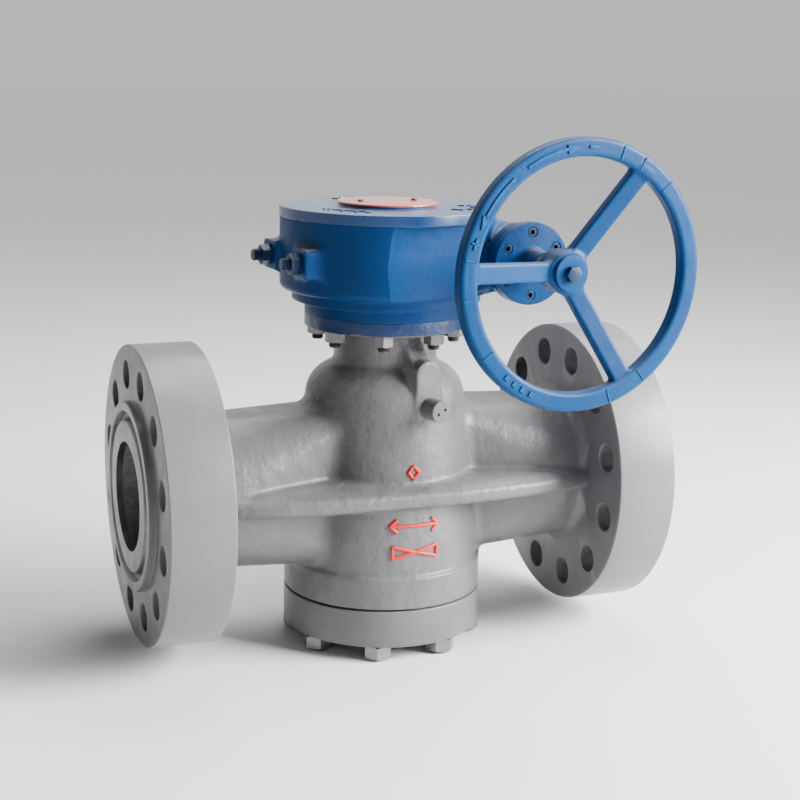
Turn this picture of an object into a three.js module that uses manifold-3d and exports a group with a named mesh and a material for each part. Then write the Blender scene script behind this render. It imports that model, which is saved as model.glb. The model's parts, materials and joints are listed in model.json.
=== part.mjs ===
// Inverted pressure-balanced lubricated plug valve, DN 150 (NPS 6) class 1500, ring-joint flanged,
// with an enclosed worm-gear operator and a handwheel. Millimetres, +Z up, +X along the flow bore.
// The row origin is on the plug axis at the underside of the adjusting-screw cap, where it stands.
import * as THREE from 'three';
import Module from 'manifold-3d';
import { mergeVertices } from 'three/addons/utils/BufferGeometryUtils.js';
import { ConvexGeometry } from 'three/addons/geometries/ConvexGeometry.js';

const wasm = await Module();
wasm.setup();

// ---- driving dimensions: heights are measured from the bore centreline ----
const BORE_HEIGHT = 222;          // bore centreline above the plane the valve stands on
const GAP = 0.3;                  // clearance between neighbouring pieces
const RUNNING = 0.6;              // clearance between pieces that turn past each other
const ROUND = 24;                 // facets of a round part

// end flanges and flow bore
const BORE_R = 72;
const FLANGE = { r: 197.5, inner: 263, outer: 346, holes: 12, holeR: 19.05, circleR: 158.75 };
const RAISED_FACE = { r: 124, x: 355.5, grooveIn: 98.8, grooveOut: 112.3, grooveDepth: 9.5 };
const PIPE_R = 104;
const PORT = { halfWidth: 38, halfHeight: 78, x: 60 };

// plug taper and the cavity around it
const TAPER = Math.tan(THREE.MathUtils.degToRad(3.9));
const PLUG = { midR: 86.5, bottom: -134.6, top: 122, clearance: 0.8 };
const CAVITY_TOP = 128;

// body outline
const BARREL = { ringR: 135.5, ringTop: -103, lowR: 131, highR: 109, highZ: 125, neckR: 70, neckZ: 165 };
const RIB = { halfThickness: 8, middleY: 141, endY: 105 };
const TOP_FLANGE = { r: 110, bottom: 212, top: 230 };
const BODY_BOTTOM = -148;

// bottom cover and its studs
const COVER = { r: 136, top: -151, bottom: -201, spigotR: 95, spigotTop: -141 };
const COVER_STUD = { r: 11, circleR: 117, top: -114, tip: -222, acrossFlats: 34, nutHeight: 18 };
const CAP = { r: 30, bottom: -222, boreR: 18, wall: 4, edge: 1.5 };
const ADJUSTER = { r: 13.7, top: -155.2, headTop: -207, tip: -216, acrossFlats: 16 };
const BALL = { r: 7, z: -147.9 };
const THRUST = { r: 60, hubR: 40, bottom: -140.2, shoulder: -138, top: -135 };

// stem, packing and its seats
const STEM_R = 29.5;
const STEM_TOP = 364;
const COLLAR = { r: 40, bottom: 134.5, top: 150, seat: 156 };
const PACKING = { r: 41.5, bottom: 190, top: 216 };
const GLAND_TOP = 229.5;
const TONGUE = { halfLength: 28, halfWidth: 9, stemLow: 124.4, ringLow: 98.5 };
const COUPLING = { r: 38, bottom: 108.4, top: 134, slotFloor: 124 };
const SOCKET = { r: 38.5, floor: 108, slotFloor: 98, slotHalfLength: 30 };
const BALANCE = { r: 4, top: -70 };
const SPANNER = { r: 1.8, x: 5.5, depth: 6 };

// sealant fitting, turned about the plug axis from the front
const FITTING = { turn: 12, z: 116, r: 14.8, face: 113, end: 137, stubR: 9, stubEnd: 96 };

// gear operator, clocked a little on the top flange
const YAW_DEGREES = 3.54;
const MOUNT_STUD = { r: 8, circleR: 92, tip: 190, top: 244, acrossFlats: 24, nutHeight: 14.5 };
const HOUSING = { r: 143.5, floor: 261.8, top: 357.1, stepR: 127, stepZ: 246.6, cavityR: 125, cavityFloor: 266 };
const LID = { r: 144, bottom: 357.4, top: 371.5, bossR: 66, bossTop: 374 };
const HUB = { r: 48, bottom: 237, top: 372.5, bushR: 56 };
const INDICATOR = { r: 67.5, bottom: 374.4, top: 377.4, screwX: 39 };

// worm gearing: single-start right-hand worm on a 46-tooth wheel
const MODULE = 5;
const TEETH = 46;
const PITCH = Math.PI * MODULE;
const WHEEL_R = MODULE * TEETH / 2;
const WORM_R = 26;
const LEAD_SLOPE = MODULE / (2 * WORM_R);
const ADDENDUM = 5;
const DEDENDUM = 6.3;
const FLANK_SLOPE = Math.tan(THREE.MathUtils.degToRad(20));
const TOOTH_SHARE = 0.4;          // tooth thickness at the pitch line, as a share of the pitch
const WORM = { x: WHEEL_R + WORM_R, z: 305.9, turns: 4 };
const WHEEL_FACE = 22;            // half of the wheel's face width
const STOP_FLAT = 80;             // flats on the wheel that meet the stop bolts

// worm barrel, end caps and shaft, measured along the worm axis from its middle
const TUBE = { r: 44, boreR: 34, flangeR: 54, end: 130.5, flangeInner: 116 };
const END_CAP = { front: 143.5, sleeveR: 19.5, sleeveEnd: 178, screwCircle: 41, screwR: 4, headR: 6.3, spigot: 122 };
const SHAFT = { r: 11, bearingR: 15, shoulder: 100, end: 234 };
const BEARING = { inner: 100.5, outer: 118 };
const SEAL = { r: 16, back: 166 };
const WHEEL_KEY = { halfWidth: 3, back: 206, front: 230, low: 7.5, high: 14 };

// stop screws on the far side of the housing from the worm
const STOP = { y: 52, z: 305, face: 148, halfWidth: 24, halfHeight: 20, r: 8, acrossFlats: 24, end: 172 };

// handwheel
const WHEEL = { r: 170, rimRadial: 24, rimAxial: 20, plane: 261.4, spokeTurn: 57, spokeWidth: 25, spokeDepth: 15 };
const WHEEL_HUB = { r: 27.5, back: 202, front: 238.5 };
const RETAINER = { r: 23, front: 244, boltFlats: 19, boltFront: 252 };

// ---- materials ----
const bodyPaint = () => new THREE.MeshStandardMaterial({ color: 0x9a9a9c, roughness: 0.45, metalness: 0.1 });
const bluePaint = () => new THREE.MeshStandardMaterial({ color: 0x1f63a8, roughness: 0.35, metalness: 0.1 });
const platedSteel = () => new THREE.MeshStandardMaterial({ color: 0x8c8d90, roughness: 0.4, metalness: 0.8 });
const bareSteel = () => new THREE.MeshStandardMaterial({ color: 0x9fa3a8, roughness: 0.3, metalness: 1 });
const darkSteel = () => new THREE.MeshStandardMaterial({ color: 0x3c3f42, roughness: 0.45, metalness: 0.8 });
const bronze = () => new THREE.MeshStandardMaterial({ color: 0xb08a4a, roughness: 0.4, metalness: 1 });
const graphite = () => new THREE.MeshStandardMaterial({ color: 0x2b2b2d, roughness: 0.8, metalness: 0.1 });
const rubber = () => new THREE.MeshStandardMaterial({ color: 0x1c1c1c, roughness: 0.9, metalness: 0 });
const signRed = () => new THREE.MeshStandardMaterial({ color: 0xe8a99c, roughness: 0.4, metalness: 0.2 });

// ---- geometry helpers ----
function signedVolume(position, index) {
  const corner = [new THREE.Vector3(), new THREE.Vector3(), new THREE.Vector3()];
  let sum = 0;
  for (let i = 0; i < index.length; i += 3) {
    corner.forEach((c, k) => c.fromArray(position, 3 * index[i + k]));
    sum += corner[0].dot(corner[1].cross(corner[2]));
  }
  return sum;
}

// Welds a closed three.js geometry and returns it as a solid with its faces pointing out.
function solid(geometry) {
  geometry.deleteAttribute('normal');
  geometry.deleteAttribute('uv');
  const welded = mergeVertices(geometry, 1e-4);
  const position = new Float32Array(welded.attributes.position.array);
  const triangles = [];
  const index = welded.index.array;
  for (let i = 0; i < index.length; i += 3) {
    const [a, b, c] = [index[i], index[i + 1], index[i + 2]];
    if (a !== b && b !== c && c !== a) triangles.push(a, b, c);
  }
  if (signedVolume(position, triangles) < 0) triangles.reverse();
  const mesh = new wasm.Mesh({ numProp: 3, vertProperties: position, triVerts: new Uint32Array(triangles) });
  return new wasm.Manifold(mesh);
}

function geometryOf(body) {
  const mesh = body.getMesh();
  const geometry = new THREE.BufferGeometry();
  geometry.setAttribute('position', new THREE.BufferAttribute(mesh.vertProperties, 3));
  geometry.setIndex(new THREE.BufferAttribute(mesh.triVerts, 1));
  return geometry;
}

const joined = (first, ...others) => others.reduce((sum, other) => sum.add(other), first);
const cut = (first, ...others) => others.reduce((rest, other) => rest.subtract(other), first);

// Round bar along Z, X or Y between two stations.
function rodZ(r, from, to, sides = ROUND) {
  const bar = new THREE.CylinderGeometry(r, r, to - from, sides);
  return solid(bar.rotateX(Math.PI / 2).translate(0, 0, (from + to) / 2));
}

function rodX(r, from, to, sides = ROUND) {
  const bar = new THREE.CylinderGeometry(r, r, to - from, sides);
  return solid(bar.rotateZ(-Math.PI / 2).translate((from + to) / 2, 0, 0));
}

function rodY(r, from, to, sides = ROUND) {
  const bar = new THREE.CylinderGeometry(r, r, to - from, sides);
  return solid(bar.translate(0, (from + to) / 2, 0));
}

// Turned piece about Z: profile points are [radius, z], starting and ending on the axis or closed.
function turned(profile, sides = ROUND) {
  const points = profile.map(([r, z]) => new THREE.Vector2(r, z));
  return solid(new THREE.LatheGeometry(points, sides).rotateX(Math.PI / 2));
}

function ring(inner, outer, from, to, sides = ROUND) {
  return turned([[inner, from], [outer, from], [outer, to], [inner, to], [inner, from]], sides);
}

function ringY(inner, outer, from, to, sides = ROUND) {
  const profile = [[inner, from], [outer, from], [outer, to], [inner, to], [inner, from]];
  const points = profile.map(([r, y]) => new THREE.Vector2(r, y));
  return solid(new THREE.LatheGeometry(points, sides));
}

function block(x0, x1, y0, y1, z0, z1) {
  const box = new THREE.BoxGeometry(x1 - x0, y1 - y0, z1 - z0);
  return solid(box.translate((x0 + x1) / 2, (y0 + y1) / 2, (z0 + z1) / 2));
}

function hull(points) {
  return solid(new ConvexGeometry(points.map((p) => new THREE.Vector3(...p))));
}

const hexZ = (acrossFlats, from, to) => rodZ(acrossFlats / Math.sqrt(3), from, to, 6);
const hexX = (acrossFlats, from, to) => rodX(acrossFlats / Math.sqrt(3), from, to, 6);
const hexY = (acrossFlats, from, to) => rodY(acrossFlats / Math.sqrt(3), from, to, 6);

// Solids repeated round the Z axis.
function aroundZ(count, firstAngle, make) {
  const step = 360 / count;
  return Array.from({ length: count }, (_, k) => make().rotate([0, 0, firstAngle + k * step]));
}

function node(name, body, material) {
  const mesh = new THREE.Mesh(geometryOf(body), material);
  mesh.name = name;
  return mesh;
}

// ---- valve body ----
const taperRadius = (z, extra = 0) => PLUG.midR - z * TAPER + extra;

function flange(side) {
  const plate = rodX(FLANGE.r, FLANGE.inner, FLANGE.outer, 36);
  const face = rodX(RAISED_FACE.r, FLANGE.outer - 1, RAISED_FACE.x);
  const collar = new THREE.CylinderGeometry(PIPE_R + 14, PIPE_R, 18, ROUND).rotateZ(-Math.PI / 2);
  const fillet = solid(collar.translate(FLANGE.inner - 8, 0, 0));
  const groove = rodX(RAISED_FACE.grooveOut, RAISED_FACE.x - RAISED_FACE.grooveDepth, RAISED_FACE.x + 1)
    .subtract(rodX(RAISED_FACE.grooveIn, RAISED_FACE.x - 20, RAISED_FACE.x + 2));
  const step = 360 / FLANGE.holes;
  const holes = Array.from({ length: FLANGE.holes }, (_, k) => rodX(FLANGE.holeR, 250, 360, 8)
    .translate([0, 0, FLANGE.circleR])
    .rotate([(k + 0.5) * step, 0, 0]));
  const one = cut(joined(plate, face), groove, ...holes).add(fillet);
  return side > 0 ? one : one.rotate([0, 0, 180]);
}

function barrel() {
  const shoulder = Array.from({ length: 4 }, (_, k) => {
    const a = (k / 3) * Math.PI / 2;
    return [BARREL.neckR + 8 + (BARREL.highR - BARREL.neckR - 8) * Math.cos(a),
      BARREL.highZ + (BARREL.neckZ - 5 - BARREL.highZ) * Math.sin(a)];
  });
  return turned([
    [0, BODY_BOTTOM], [BARREL.ringR, BODY_BOTTOM], [BARREL.ringR, BARREL.ringTop],
    [BARREL.lowR, BARREL.ringTop + 8], ...shoulder,
    [BARREL.neckR, BARREL.neckZ], [BARREL.neckR, TOP_FLANGE.bottom],
    [TOP_FLANGE.r, TOP_FLANGE.bottom], [TOP_FLANGE.r, TOP_FLANGE.top], [0, TOP_FLANGE.top],
  ]);
}

// Horizontal web round the whole body from flange to flange, widest round the barrel.
function rib() {
  const reach = FLANGE.inner + 2;
  const edge = (x) => RIB.middleY - (RIB.middleY - RIB.endY) * Math.abs(x / reach) ** 3;
  const stations = Array.from({ length: 11 }, (_, k) => reach * (k - 5) / 5);
  const outline = new THREE.Shape([
    ...stations.map((x) => new THREE.Vector2(x, -edge(x))),
    ...stations.map((x) => new THREE.Vector2(-x, edge(x))),
  ]);
  const plate = new THREE.ExtrudeGeometry(outline, { depth: 2 * RIB.halfThickness, bevelEnabled: false });
  return solid(plate.translate(0, 0, -RIB.halfThickness));
}

// Faceted gussets between each pipe neck and the barrel.
function gusset(side) {
  const points = [];
  for (const y of [-1, 1]) {
    for (const z of [-1, 1]) {
      points.push([side * 245, y * 103.5, z * 10]);
      points.push([side * 60, y * 80, z * 84]);
      points.push([side * 60, y * 122, z * 14]);
    }
  }
  return hull(points);
}

function fittingBoss() {
  const tower = joined(block(-18, 18, -FITTING.face, -60, FITTING.z, 176),
    rodY(18, -FITTING.face, -60, 16).translate([0, 0, FITTING.z]));
  const ramp = hull([[-18, -60, 200], [18, -60, 200], [-18, -60, 160], [18, -60, 160],
    [-18, -66, 192], [18, -66, 192], [-18, -FITTING.face, 168], [18, -FITTING.face, 168]]);
  return tower.add(ramp).rotate([0, 0, FITTING.turn]);
}

// Flow way from one ring-joint face to the plug: round at the flange, a tall slot at the plug.
function flowWay(side) {
  const slot = [];
  for (const y of [-PORT.halfWidth, PORT.halfWidth]) {
    for (const z of [-1, 1]) {
      slot.push([side * PORT.x, y, z * (PORT.halfHeight - 14)]);
      slot.push([side * PORT.x, y * 0.6, z * PORT.halfHeight]);
    }
  }
  const circle = Array.from({ length: 16 }, (_, k) => {
    const a = 2 * Math.PI * k / 16;
    return [side * 220, BORE_R * Math.cos(a), BORE_R * Math.sin(a)];
  });
  const bore = rodX(BORE_R, 219, 360, 24);
  return hull([...slot, ...circle]).add(side > 0 ? bore : bore.rotate([0, 0, 180]));
}

function valveBody() {
  const shell = joined(barrel(), rodX(PIPE_R, -270, 270), rib(), gusset(-1), gusset(1), fittingBoss(),
    flange(-1), flange(1));
  const clear = PLUG.clearance;
  const cavity = turned([
    [0, BODY_BOTTOM - 1], [taperRadius(BODY_BOTTOM - 1, clear), BODY_BOTTOM - 1],
    [taperRadius(CAVITY_TOP, clear), CAVITY_TOP], [0, CAVITY_TOP],
  ], 40);
  const stemWay = turned([
    [0, CAVITY_TOP - 8], [COLLAR.r + 1, CAVITY_TOP - 8], [COLLAR.r + 1, COLLAR.seat],
    [STEM_R + 0.8, COLLAR.seat], [STEM_R + 0.8, PACKING.bottom - GAP],
    [PACKING.r + GAP, PACKING.bottom - GAP], [PACKING.r + GAP, TOP_FLANGE.top + 1], [0, TOP_FLANGE.top + 1],
  ]);
  const studHoles = aroundZ(8, 22.5, () => rodZ(COVER_STUD.r + GAP, -160, COVER_STUD.top + 2, 8)
    .translate([COVER_STUD.circleR, 0, 0]));
  const flangeHoles = aroundZ(8, 22.5, () => rodZ(MOUNT_STUD.r + GAP, 205, 235, 8)
    .translate([MOUNT_STUD.circleR, 0, 0]));
  const sealantWay = joined(rodY(FITTING.stubR + GAP, -FITTING.face - 5, -FITTING.stubEnd + 12, 12),
    rodY(3, -FITTING.stubEnd, -70, 12)).translate([0, 0, FITTING.z]).rotate([0, 0, FITTING.turn]);
  const body = cut(shell, cavity, stemWay, flowWay(-1), flowWay(1), sealantWay, ...studHoles, ...flangeHoles);
  return node('valve_body', body, bodyPaint());
}

// ---- bottom closure ----
function bottomCover() {
  const disc = turned([
    [0, COVER.bottom], [COVER.r - 2, COVER.bottom], [COVER.r, COVER.bottom + 2], [COVER.r, COVER.top],
    [COVER.spigotR, COVER.top], [COVER.spigotR, COVER.spigotTop], [0, COVER.spigotTop],
  ], 32);
  const holes = aroundZ(8, 22.5, () => rodZ(COVER_STUD.r + GAP, -205, -145, 8)
    .translate([COVER_STUD.circleR, 0, 0]));
  const screwBore = rodZ(14, -210, -130, 16);
  return node('bottom_cover', cut(disc, screwBore, ...holes), bodyPaint());
}

function coverGasket() {
  return node('cover_gasket', ring(97.5, 104.5, COVER.top + GAP, BODY_BOTTOM - GAP), graphite());
}

function coverStud() {
  const shank = rodZ(COVER_STUD.r, COVER_STUD.tip, COVER_STUD.top, 8);
  const nutTop = COVER.bottom - GAP;
  return shank.add(hexZ(COVER_STUD.acrossFlats, nutTop - COVER_STUD.nutHeight, nutTop));
}

function adjustingParts() {
  const screw = joined(rodZ(ADJUSTER.r, ADJUSTER.headTop - 1, ADJUSTER.top, 16),
    hexZ(ADJUSTER.acrossFlats, ADJUSTER.tip, ADJUSTER.headTop));
  const cap = turned([
    [0, CAP.bottom], [CAP.r - CAP.edge, CAP.bottom], [CAP.r, CAP.bottom + CAP.edge],
    [CAP.r, COVER.bottom - GAP], [CAP.boreR, COVER.bottom - GAP], [CAP.boreR, CAP.bottom + CAP.wall],
    [0, CAP.bottom + CAP.wall],
  ], 16);
  const ball = solid(new THREE.SphereGeometry(BALL.r, 12, 8)).translate([0, 0, BALL.z]);
  const plate = turned([
    [0, THRUST.bottom], [THRUST.hubR, THRUST.bottom], [THRUST.r, THRUST.shoulder], [THRUST.r, THRUST.top],
    [0, THRUST.top],
  ]);
  return [
    node('adjusting_screw', screw, platedSteel()),
    node('adjusting_screw_cap', cap, bodyPaint()),
    node('thrust_ball', ball, bareSteel()),
    node('thrust_plate', plate, bareSteel()),
  ];
}

// ---- plug and its drive ----
function plug() {
  const cone = turned([
    [0, PLUG.bottom], [taperRadius(PLUG.bottom), PLUG.bottom],
    [taperRadius(PLUG.top), PLUG.top], [0, PLUG.top],
  ], 40);
  const w = PORT.halfWidth;
  const h = PORT.halfHeight;
  const window = hull([-110, 110].flatMap((x) => [-1, 1].flatMap((z) => [
    [x, -w, z * (h - 14)], [x, w, z * (h - 14)], [x, -w * 0.6, z * h], [x, w * 0.6, z * h],
  ])));
  const pocket = rodZ(SOCKET.r, SOCKET.floor, PLUG.top + 8);
  const slot = block(-TONGUE.halfWidth, TONGUE.halfWidth, -SOCKET.slotHalfLength, SOCKET.slotHalfLength,
    SOCKET.slotFloor, SOCKET.floor + 2);
  const balanceHole = rodZ(BALANCE.r, PLUG.bottom - 1, BALANCE.top, 12);
  return node('plug', cut(cone, window, pocket, slot, balanceHole), bareSteel());
}

// Floating ring with a slot for the stem tongue above and a tongue for the plug slot below.
function equalizerRing() {
  const disc = rodZ(COUPLING.r, COUPLING.bottom, COUPLING.top);
  const slot = block(-COUPLING.r - 7, COUPLING.r + 7, -TONGUE.halfWidth - GAP, TONGUE.halfWidth + GAP,
    COUPLING.slotFloor, COUPLING.top + 6);
  const tongue = block(-TONGUE.halfWidth + GAP, TONGUE.halfWidth - GAP, -TONGUE.halfLength,
    TONGUE.halfLength, TONGUE.ringLow, SOCKET.floor + 2);
  return node('equalizer_ring', disc.subtract(slot).add(tongue), bareSteel());
}

const KEY = { halfWidth: 7, reach: 34, bottom: 262, top: 345 };

function stem() {
  const shaft = turned([
    [0, COLLAR.bottom], [COLLAR.r, COLLAR.bottom], [COLLAR.r, COLLAR.top], [STEM_R, COLLAR.top],
    [STEM_R, STEM_TOP - 2], [STEM_R - 2, STEM_TOP], [0, STEM_TOP],
  ]);
  const tongue = block(-TONGUE.halfLength, TONGUE.halfLength, -TONGUE.halfWidth, TONGUE.halfWidth,
    TONGUE.stemLow, COLLAR.bottom + 1.5);
  const keyway = block(22, 40, -KEY.halfWidth - GAP, KEY.halfWidth + GAP, KEY.bottom - GAP, KEY.top + GAP)
    .rotate([0, 0, YAW_DEGREES]);
  return node('stem', shaft.add(tongue).subtract(keyway), bareSteel());
}

function stemSeals() {
  return [
    node('stem_thrust_washer', ring(STEM_R + RUNNING, COLLAR.r, COLLAR.top + GAP, COLLAR.seat - GAP), bronze()),
    node('stem_packing', ring(STEM_R + RUNNING, PACKING.r, PACKING.bottom, PACKING.top), graphite()),
    node('packing_gland', ring(STEM_R + RUNNING, PACKING.r, PACKING.top + GAP, GLAND_TOP), platedSteel()),
  ];
}

// Sealant fitting and the check ball seat behind it, both along -Y before they are turned.
function sealantParts() {
  const head = rodY(FITTING.r, -FITTING.end, -FITTING.face - GAP, 24);
  const stub = rodY(FITTING.stubR, -FITTING.face - 1, -FITTING.stubEnd, 12);
  const spannerHole = rodY(SPANNER.r, -FITTING.end - 1, -FITTING.end + SPANNER.depth, 8);
  const spanner = [-SPANNER.x, SPANNER.x].map((x) => spannerHole.translate([x, 0, 0]));
  const fitting = cut(head.add(stub), ...spanner);
  const valve = rodY(5, -FITTING.stubEnd + GAP, -87, 12);
  const group = new THREE.Group();
  group.position.z = FITTING.z;
  group.rotation.z = THREE.MathUtils.degToRad(FITTING.turn);
  group.add(node('sealant_fitting', fitting, bodyPaint()));
  group.add(node('sealant_check_valve', valve, bareSteel()));
  return group;
}

// ---- gear operator ----
function mountingStud() {
  const shank = rodZ(MOUNT_STUD.r, MOUNT_STUD.tip, MOUNT_STUD.top, 8);
  const nutTop = TOP_FLANGE.bottom - GAP;
  return shank.add(hexZ(MOUNT_STUD.acrossFlats, nutTop - MOUNT_STUD.nutHeight, nutTop));
}

function gearboxHousing() {
  const floor = TOP_FLANGE.top + GAP;
  const drum = turned([
    [0, floor], [TOP_FLANGE.r, floor], [TOP_FLANGE.r, HOUSING.stepZ], [HOUSING.stepR, HOUSING.stepZ],
    [HOUSING.stepR, HOUSING.floor - 2], [HOUSING.r, HOUSING.floor + 4], [HOUSING.r, HOUSING.top],
    [0, HOUSING.top],
  ], 32);
  const tube = joined(rodY(TUBE.r, -TUBE.end + 2, TUBE.end - 2),
    rodY(TUBE.flangeR, -TUBE.end, -TUBE.flangeInner),
    rodY(TUBE.flangeR, TUBE.flangeInner, TUBE.end)).translate([WORM.x, 0, WORM.z]);
  const web = block(0, WORM.x, -75, 75, HOUSING.floor + 4, HOUSING.top - 8);
  const bosses = [-1, 1].map((s) => block(-STOP.face, -110, s * STOP.y - STOP.halfWidth,
    s * STOP.y + STOP.halfWidth, STOP.z - STOP.halfHeight, STOP.z + STOP.halfHeight));
  const cavity = turned([
    [0, floor - 1], [HUB.bushR + GAP, floor - 1], [HUB.bushR + GAP, HOUSING.cavityFloor],
    [HOUSING.cavityR, HOUSING.cavityFloor], [HOUSING.cavityR, HOUSING.top + 1], [0, HOUSING.top + 1],
  ], 32);
  const wormBore = rodY(TUBE.boreR, -140, 140).translate([WORM.x, 0, WORM.z]);
  const stopHole = rodX(STOP.r + GAP, -160, -100, 12);
  const stopHoles = [-1, 1].map((s) => stopHole.translate([0, s * STOP.y, STOP.z]));
  const studHoles = aroundZ(8, 22.5 - YAW_DEGREES, () => rodZ(MOUNT_STUD.r + GAP, 225, MOUNT_STUD.top + 1, 8)
    .translate([MOUNT_STUD.circleR, 0, 0]));
  const casting = joined(drum, tube, web, ...bosses);
  const body = cut(casting, cavity, wormBore, ...stopHoles, ...studHoles, ...capScrewHoles());
  return node('gearbox_housing', body, bluePaint());
}

// Blind holes for the front end-cap screws in the worm barrel.
function capScrewHoles() {
  return Array.from({ length: 6 }, (_, k) => rodY(END_CAP.screwR + GAP, -140, -112, 6)
    .translate([0, 0, END_CAP.screwCircle])
    .rotate([0, 60 * k, 0])
    .translate([WORM.x, 0, WORM.z]));
}

function gearboxCover() {
  const bush = HUB.bushR + GAP;
  const lid = turned([
    [bush, LID.bottom], [LID.r, LID.bottom], [LID.r, LID.top - 1.5], [LID.r - 1.5, LID.top],
    [LID.bossR, LID.top], [LID.bossR, LID.bossTop], [bush, LID.bossTop], [bush, LID.bottom],
  ], 32);
  return node('gearbox_cover', lid, bluePaint());
}

// Gear outline with straight flanks, ready to be twisted by the lead angle.
function gearShape() {
  const half = TOOTH_SHARE * PITCH / 2;
  const outline = [];
  for (let k = 0; k < TEETH; k += 1) {
    const middle = 2 * Math.PI * k / TEETH;
    const corners = [[-DEDENDUM, -1], [ADDENDUM, -1], [ADDENDUM, 1], [-DEDENDUM, 1]];
    for (const [height, side] of corners) {
      const r = WHEEL_R + height;
      const a = middle + side * (half - height * FLANK_SLOPE) / WHEEL_R;
      outline.push(new THREE.Vector2(r * Math.cos(a), r * Math.sin(a)));
    }
  }
  return new THREE.Shape(outline);
}

// Toothed wheel: the teeth follow the worm's lead, and two flats at right angles meet the stop bolts.
function wormWheel() {
  const gear = new THREE.ExtrudeGeometry(gearShape(), { depth: 2 * WHEEL_FACE, bevelEnabled: false });
  gear.translate(0, 0, -WHEEL_FACE);
  const position = gear.attributes.position;
  const point = new THREE.Vector3();
  const up = new THREE.Vector3(0, 0, 1);
  for (let i = 0; i < position.count; i += 1) {
    point.fromBufferAttribute(position, i);
    point.applyAxisAngle(up, point.z * LEAD_SLOPE / WHEEL_R);
    position.setXYZ(i, point.x, point.y, point.z);
  }
  const rim = solid(gear).translate([0, 0, WORM.z]);
  const low = WORM.z - WHEEL_FACE - 1;
  const high = WORM.z + WHEEL_FACE + 1;
  const sector = cut(rim, block(-140, -STOP_FLAT, -140, 140, low, high),
    block(-140, 140, -140, -STOP_FLAT, low, high), block(-140, 0, -140, 0, low, high));
  const lightening = [ring(66, 96, WORM.z + 10, high), ring(66, 96, low, WORM.z - 10)];
  const hub = rodZ(HUB.r, HUB.bottom, HUB.top);
  const hubBar = joined(cut(sector, ...lightening), rodZ(62, low + 1, high - 1), hub);
  const bore = rodZ(STEM_R + GAP, 220, 380);
  const keyway = block(20, KEY.reach + GAP, -KEY.halfWidth - GAP, KEY.halfWidth + GAP, KEY.bottom - 30, 380);
  const screwHoles = [-1, 1].map((s) => rodZ(2.8, 358, 380, 8).translate([s * INDICATOR.screwX, 0, 0]));
  return node('worm_wheel', cut(hubBar, bore, keyway, ...screwHoles), bronze());
}

function wheelFittings() {
  const key = block(22.5, KEY.reach, -KEY.halfWidth, KEY.halfWidth, KEY.bottom, KEY.top);
  return [
    node('stem_key', key, bareSteel()),
    node('wheel_bush_lower', ring(HUB.r + RUNNING, HUB.bushR, HUB.bottom, HOUSING.cavityFloor - 1), bronze()),
    node('wheel_bush_upper', ring(HUB.r + RUNNING, HUB.bushR, LID.bottom, LID.bossTop - 1), bronze()),
  ];
}

function indicator() {
  const plate = rodZ(INDICATOR.r, INDICATOR.bottom, INDICATOR.top, 32);
  const holes = [-1, 1].map((s) => rodZ(2.8, 370, 380, 8).translate([s * INDICATOR.screwX, 0, 0]));
  const shank = rodZ(2.5, STEM_TOP - 2, INDICATOR.top + 1, 8);
  const screw = () => joined(shank, rodZ(4.5, INDICATOR.top + GAP, INDICATOR.top + 2.5, 12));
  return [
    node('position_indicator', cut(plate, ...holes), signRed()),
    ...[-1, 1].map((s, k) => {
      const mesh = node(`indicator_screw_${k + 1}`, screw(), darkSteel());
      mesh.position.x = s * INDICATOR.screwX;
      return mesh;
    }),
  ];
}

function stopScrews() {
  const bolt = rodX(STOP.r, -STOP.end, -STOP_FLAT - GAP, 12);
  const nutBore = rodX(STOP.r + GAP, -170, -140, 12);
  const nut = cut(hexX(STOP.acrossFlats, -STOP.face - 13.3, -STOP.face - GAP), nutBore);
  return [['closed', -1], ['open', 1]].flatMap(([name, side]) => {
    const pair = [node(`stop_bolt_${name}`, bolt, darkSteel()), node(`stop_nut_${name}`, nut, darkSteel())];
    pair.forEach((mesh) => mesh.position.set(0, side * STOP.y, STOP.z));
    return pair;
  });
}

// ---- worm line: every piece here is about the worm axis, with the handwheel towards -Y ----
// Right-hand thread: a straight trapezoid bar wound onto the helix.
function thread() {
  const half = TOOTH_SHARE * PITCH / 2;
  const bar = new THREE.Shape([
    new THREE.Vector2(-half - DEDENDUM * FLANK_SLOPE, -DEDENDUM - 1),
    new THREE.Vector2(half + DEDENDUM * FLANK_SLOPE, -DEDENDUM - 1),
    new THREE.Vector2(half - ADDENDUM * FLANK_SLOPE, ADDENDUM),
    new THREE.Vector2(-half + ADDENDUM * FLANK_SLOPE, ADDENDUM),
  ]);
  const steps = WORM.turns * 14;
  const wound = new THREE.ExtrudeGeometry(bar, { depth: WORM.turns, steps, bevelEnabled: false });
  const position = wound.attributes.position;
  for (let i = 0; i < position.count; i += 1) {
    const turn = position.getZ(i) - WORM.turns / 2;
    const angle = 2 * Math.PI * turn;
    const r = WORM_R + position.getY(i);
    const along = position.getX(i) + PITCH * (turn - 0.25);
    position.setXYZ(i, r * Math.sin(angle), along, r * Math.cos(angle));
  }
  return solid(wound);
}

function wormShaft() {
  const core = joined(rodY(WORM_R - DEDENDUM, -SHAFT.shoulder, SHAFT.shoulder, 16),
    rodY(SHAFT.bearingR, -BEARING.outer, BEARING.outer, 16), rodY(SHAFT.r, -SHAFT.end, 0, 16));
  const keyway = block(-WHEEL_KEY.halfWidth - GAP, WHEEL_KEY.halfWidth + GAP, -WHEEL_KEY.front - GAP,
    -WHEEL_KEY.back + GAP, WHEEL_KEY.low - GAP, WHEEL_KEY.high);
  const boltHole = rodY(6 + GAP, -SHAFT.end - 1, -SHAFT.end + 26, 12);
  return node('worm_shaft', cut(core.add(thread()), keyway, boltHole), bareSteel());
}

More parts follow.
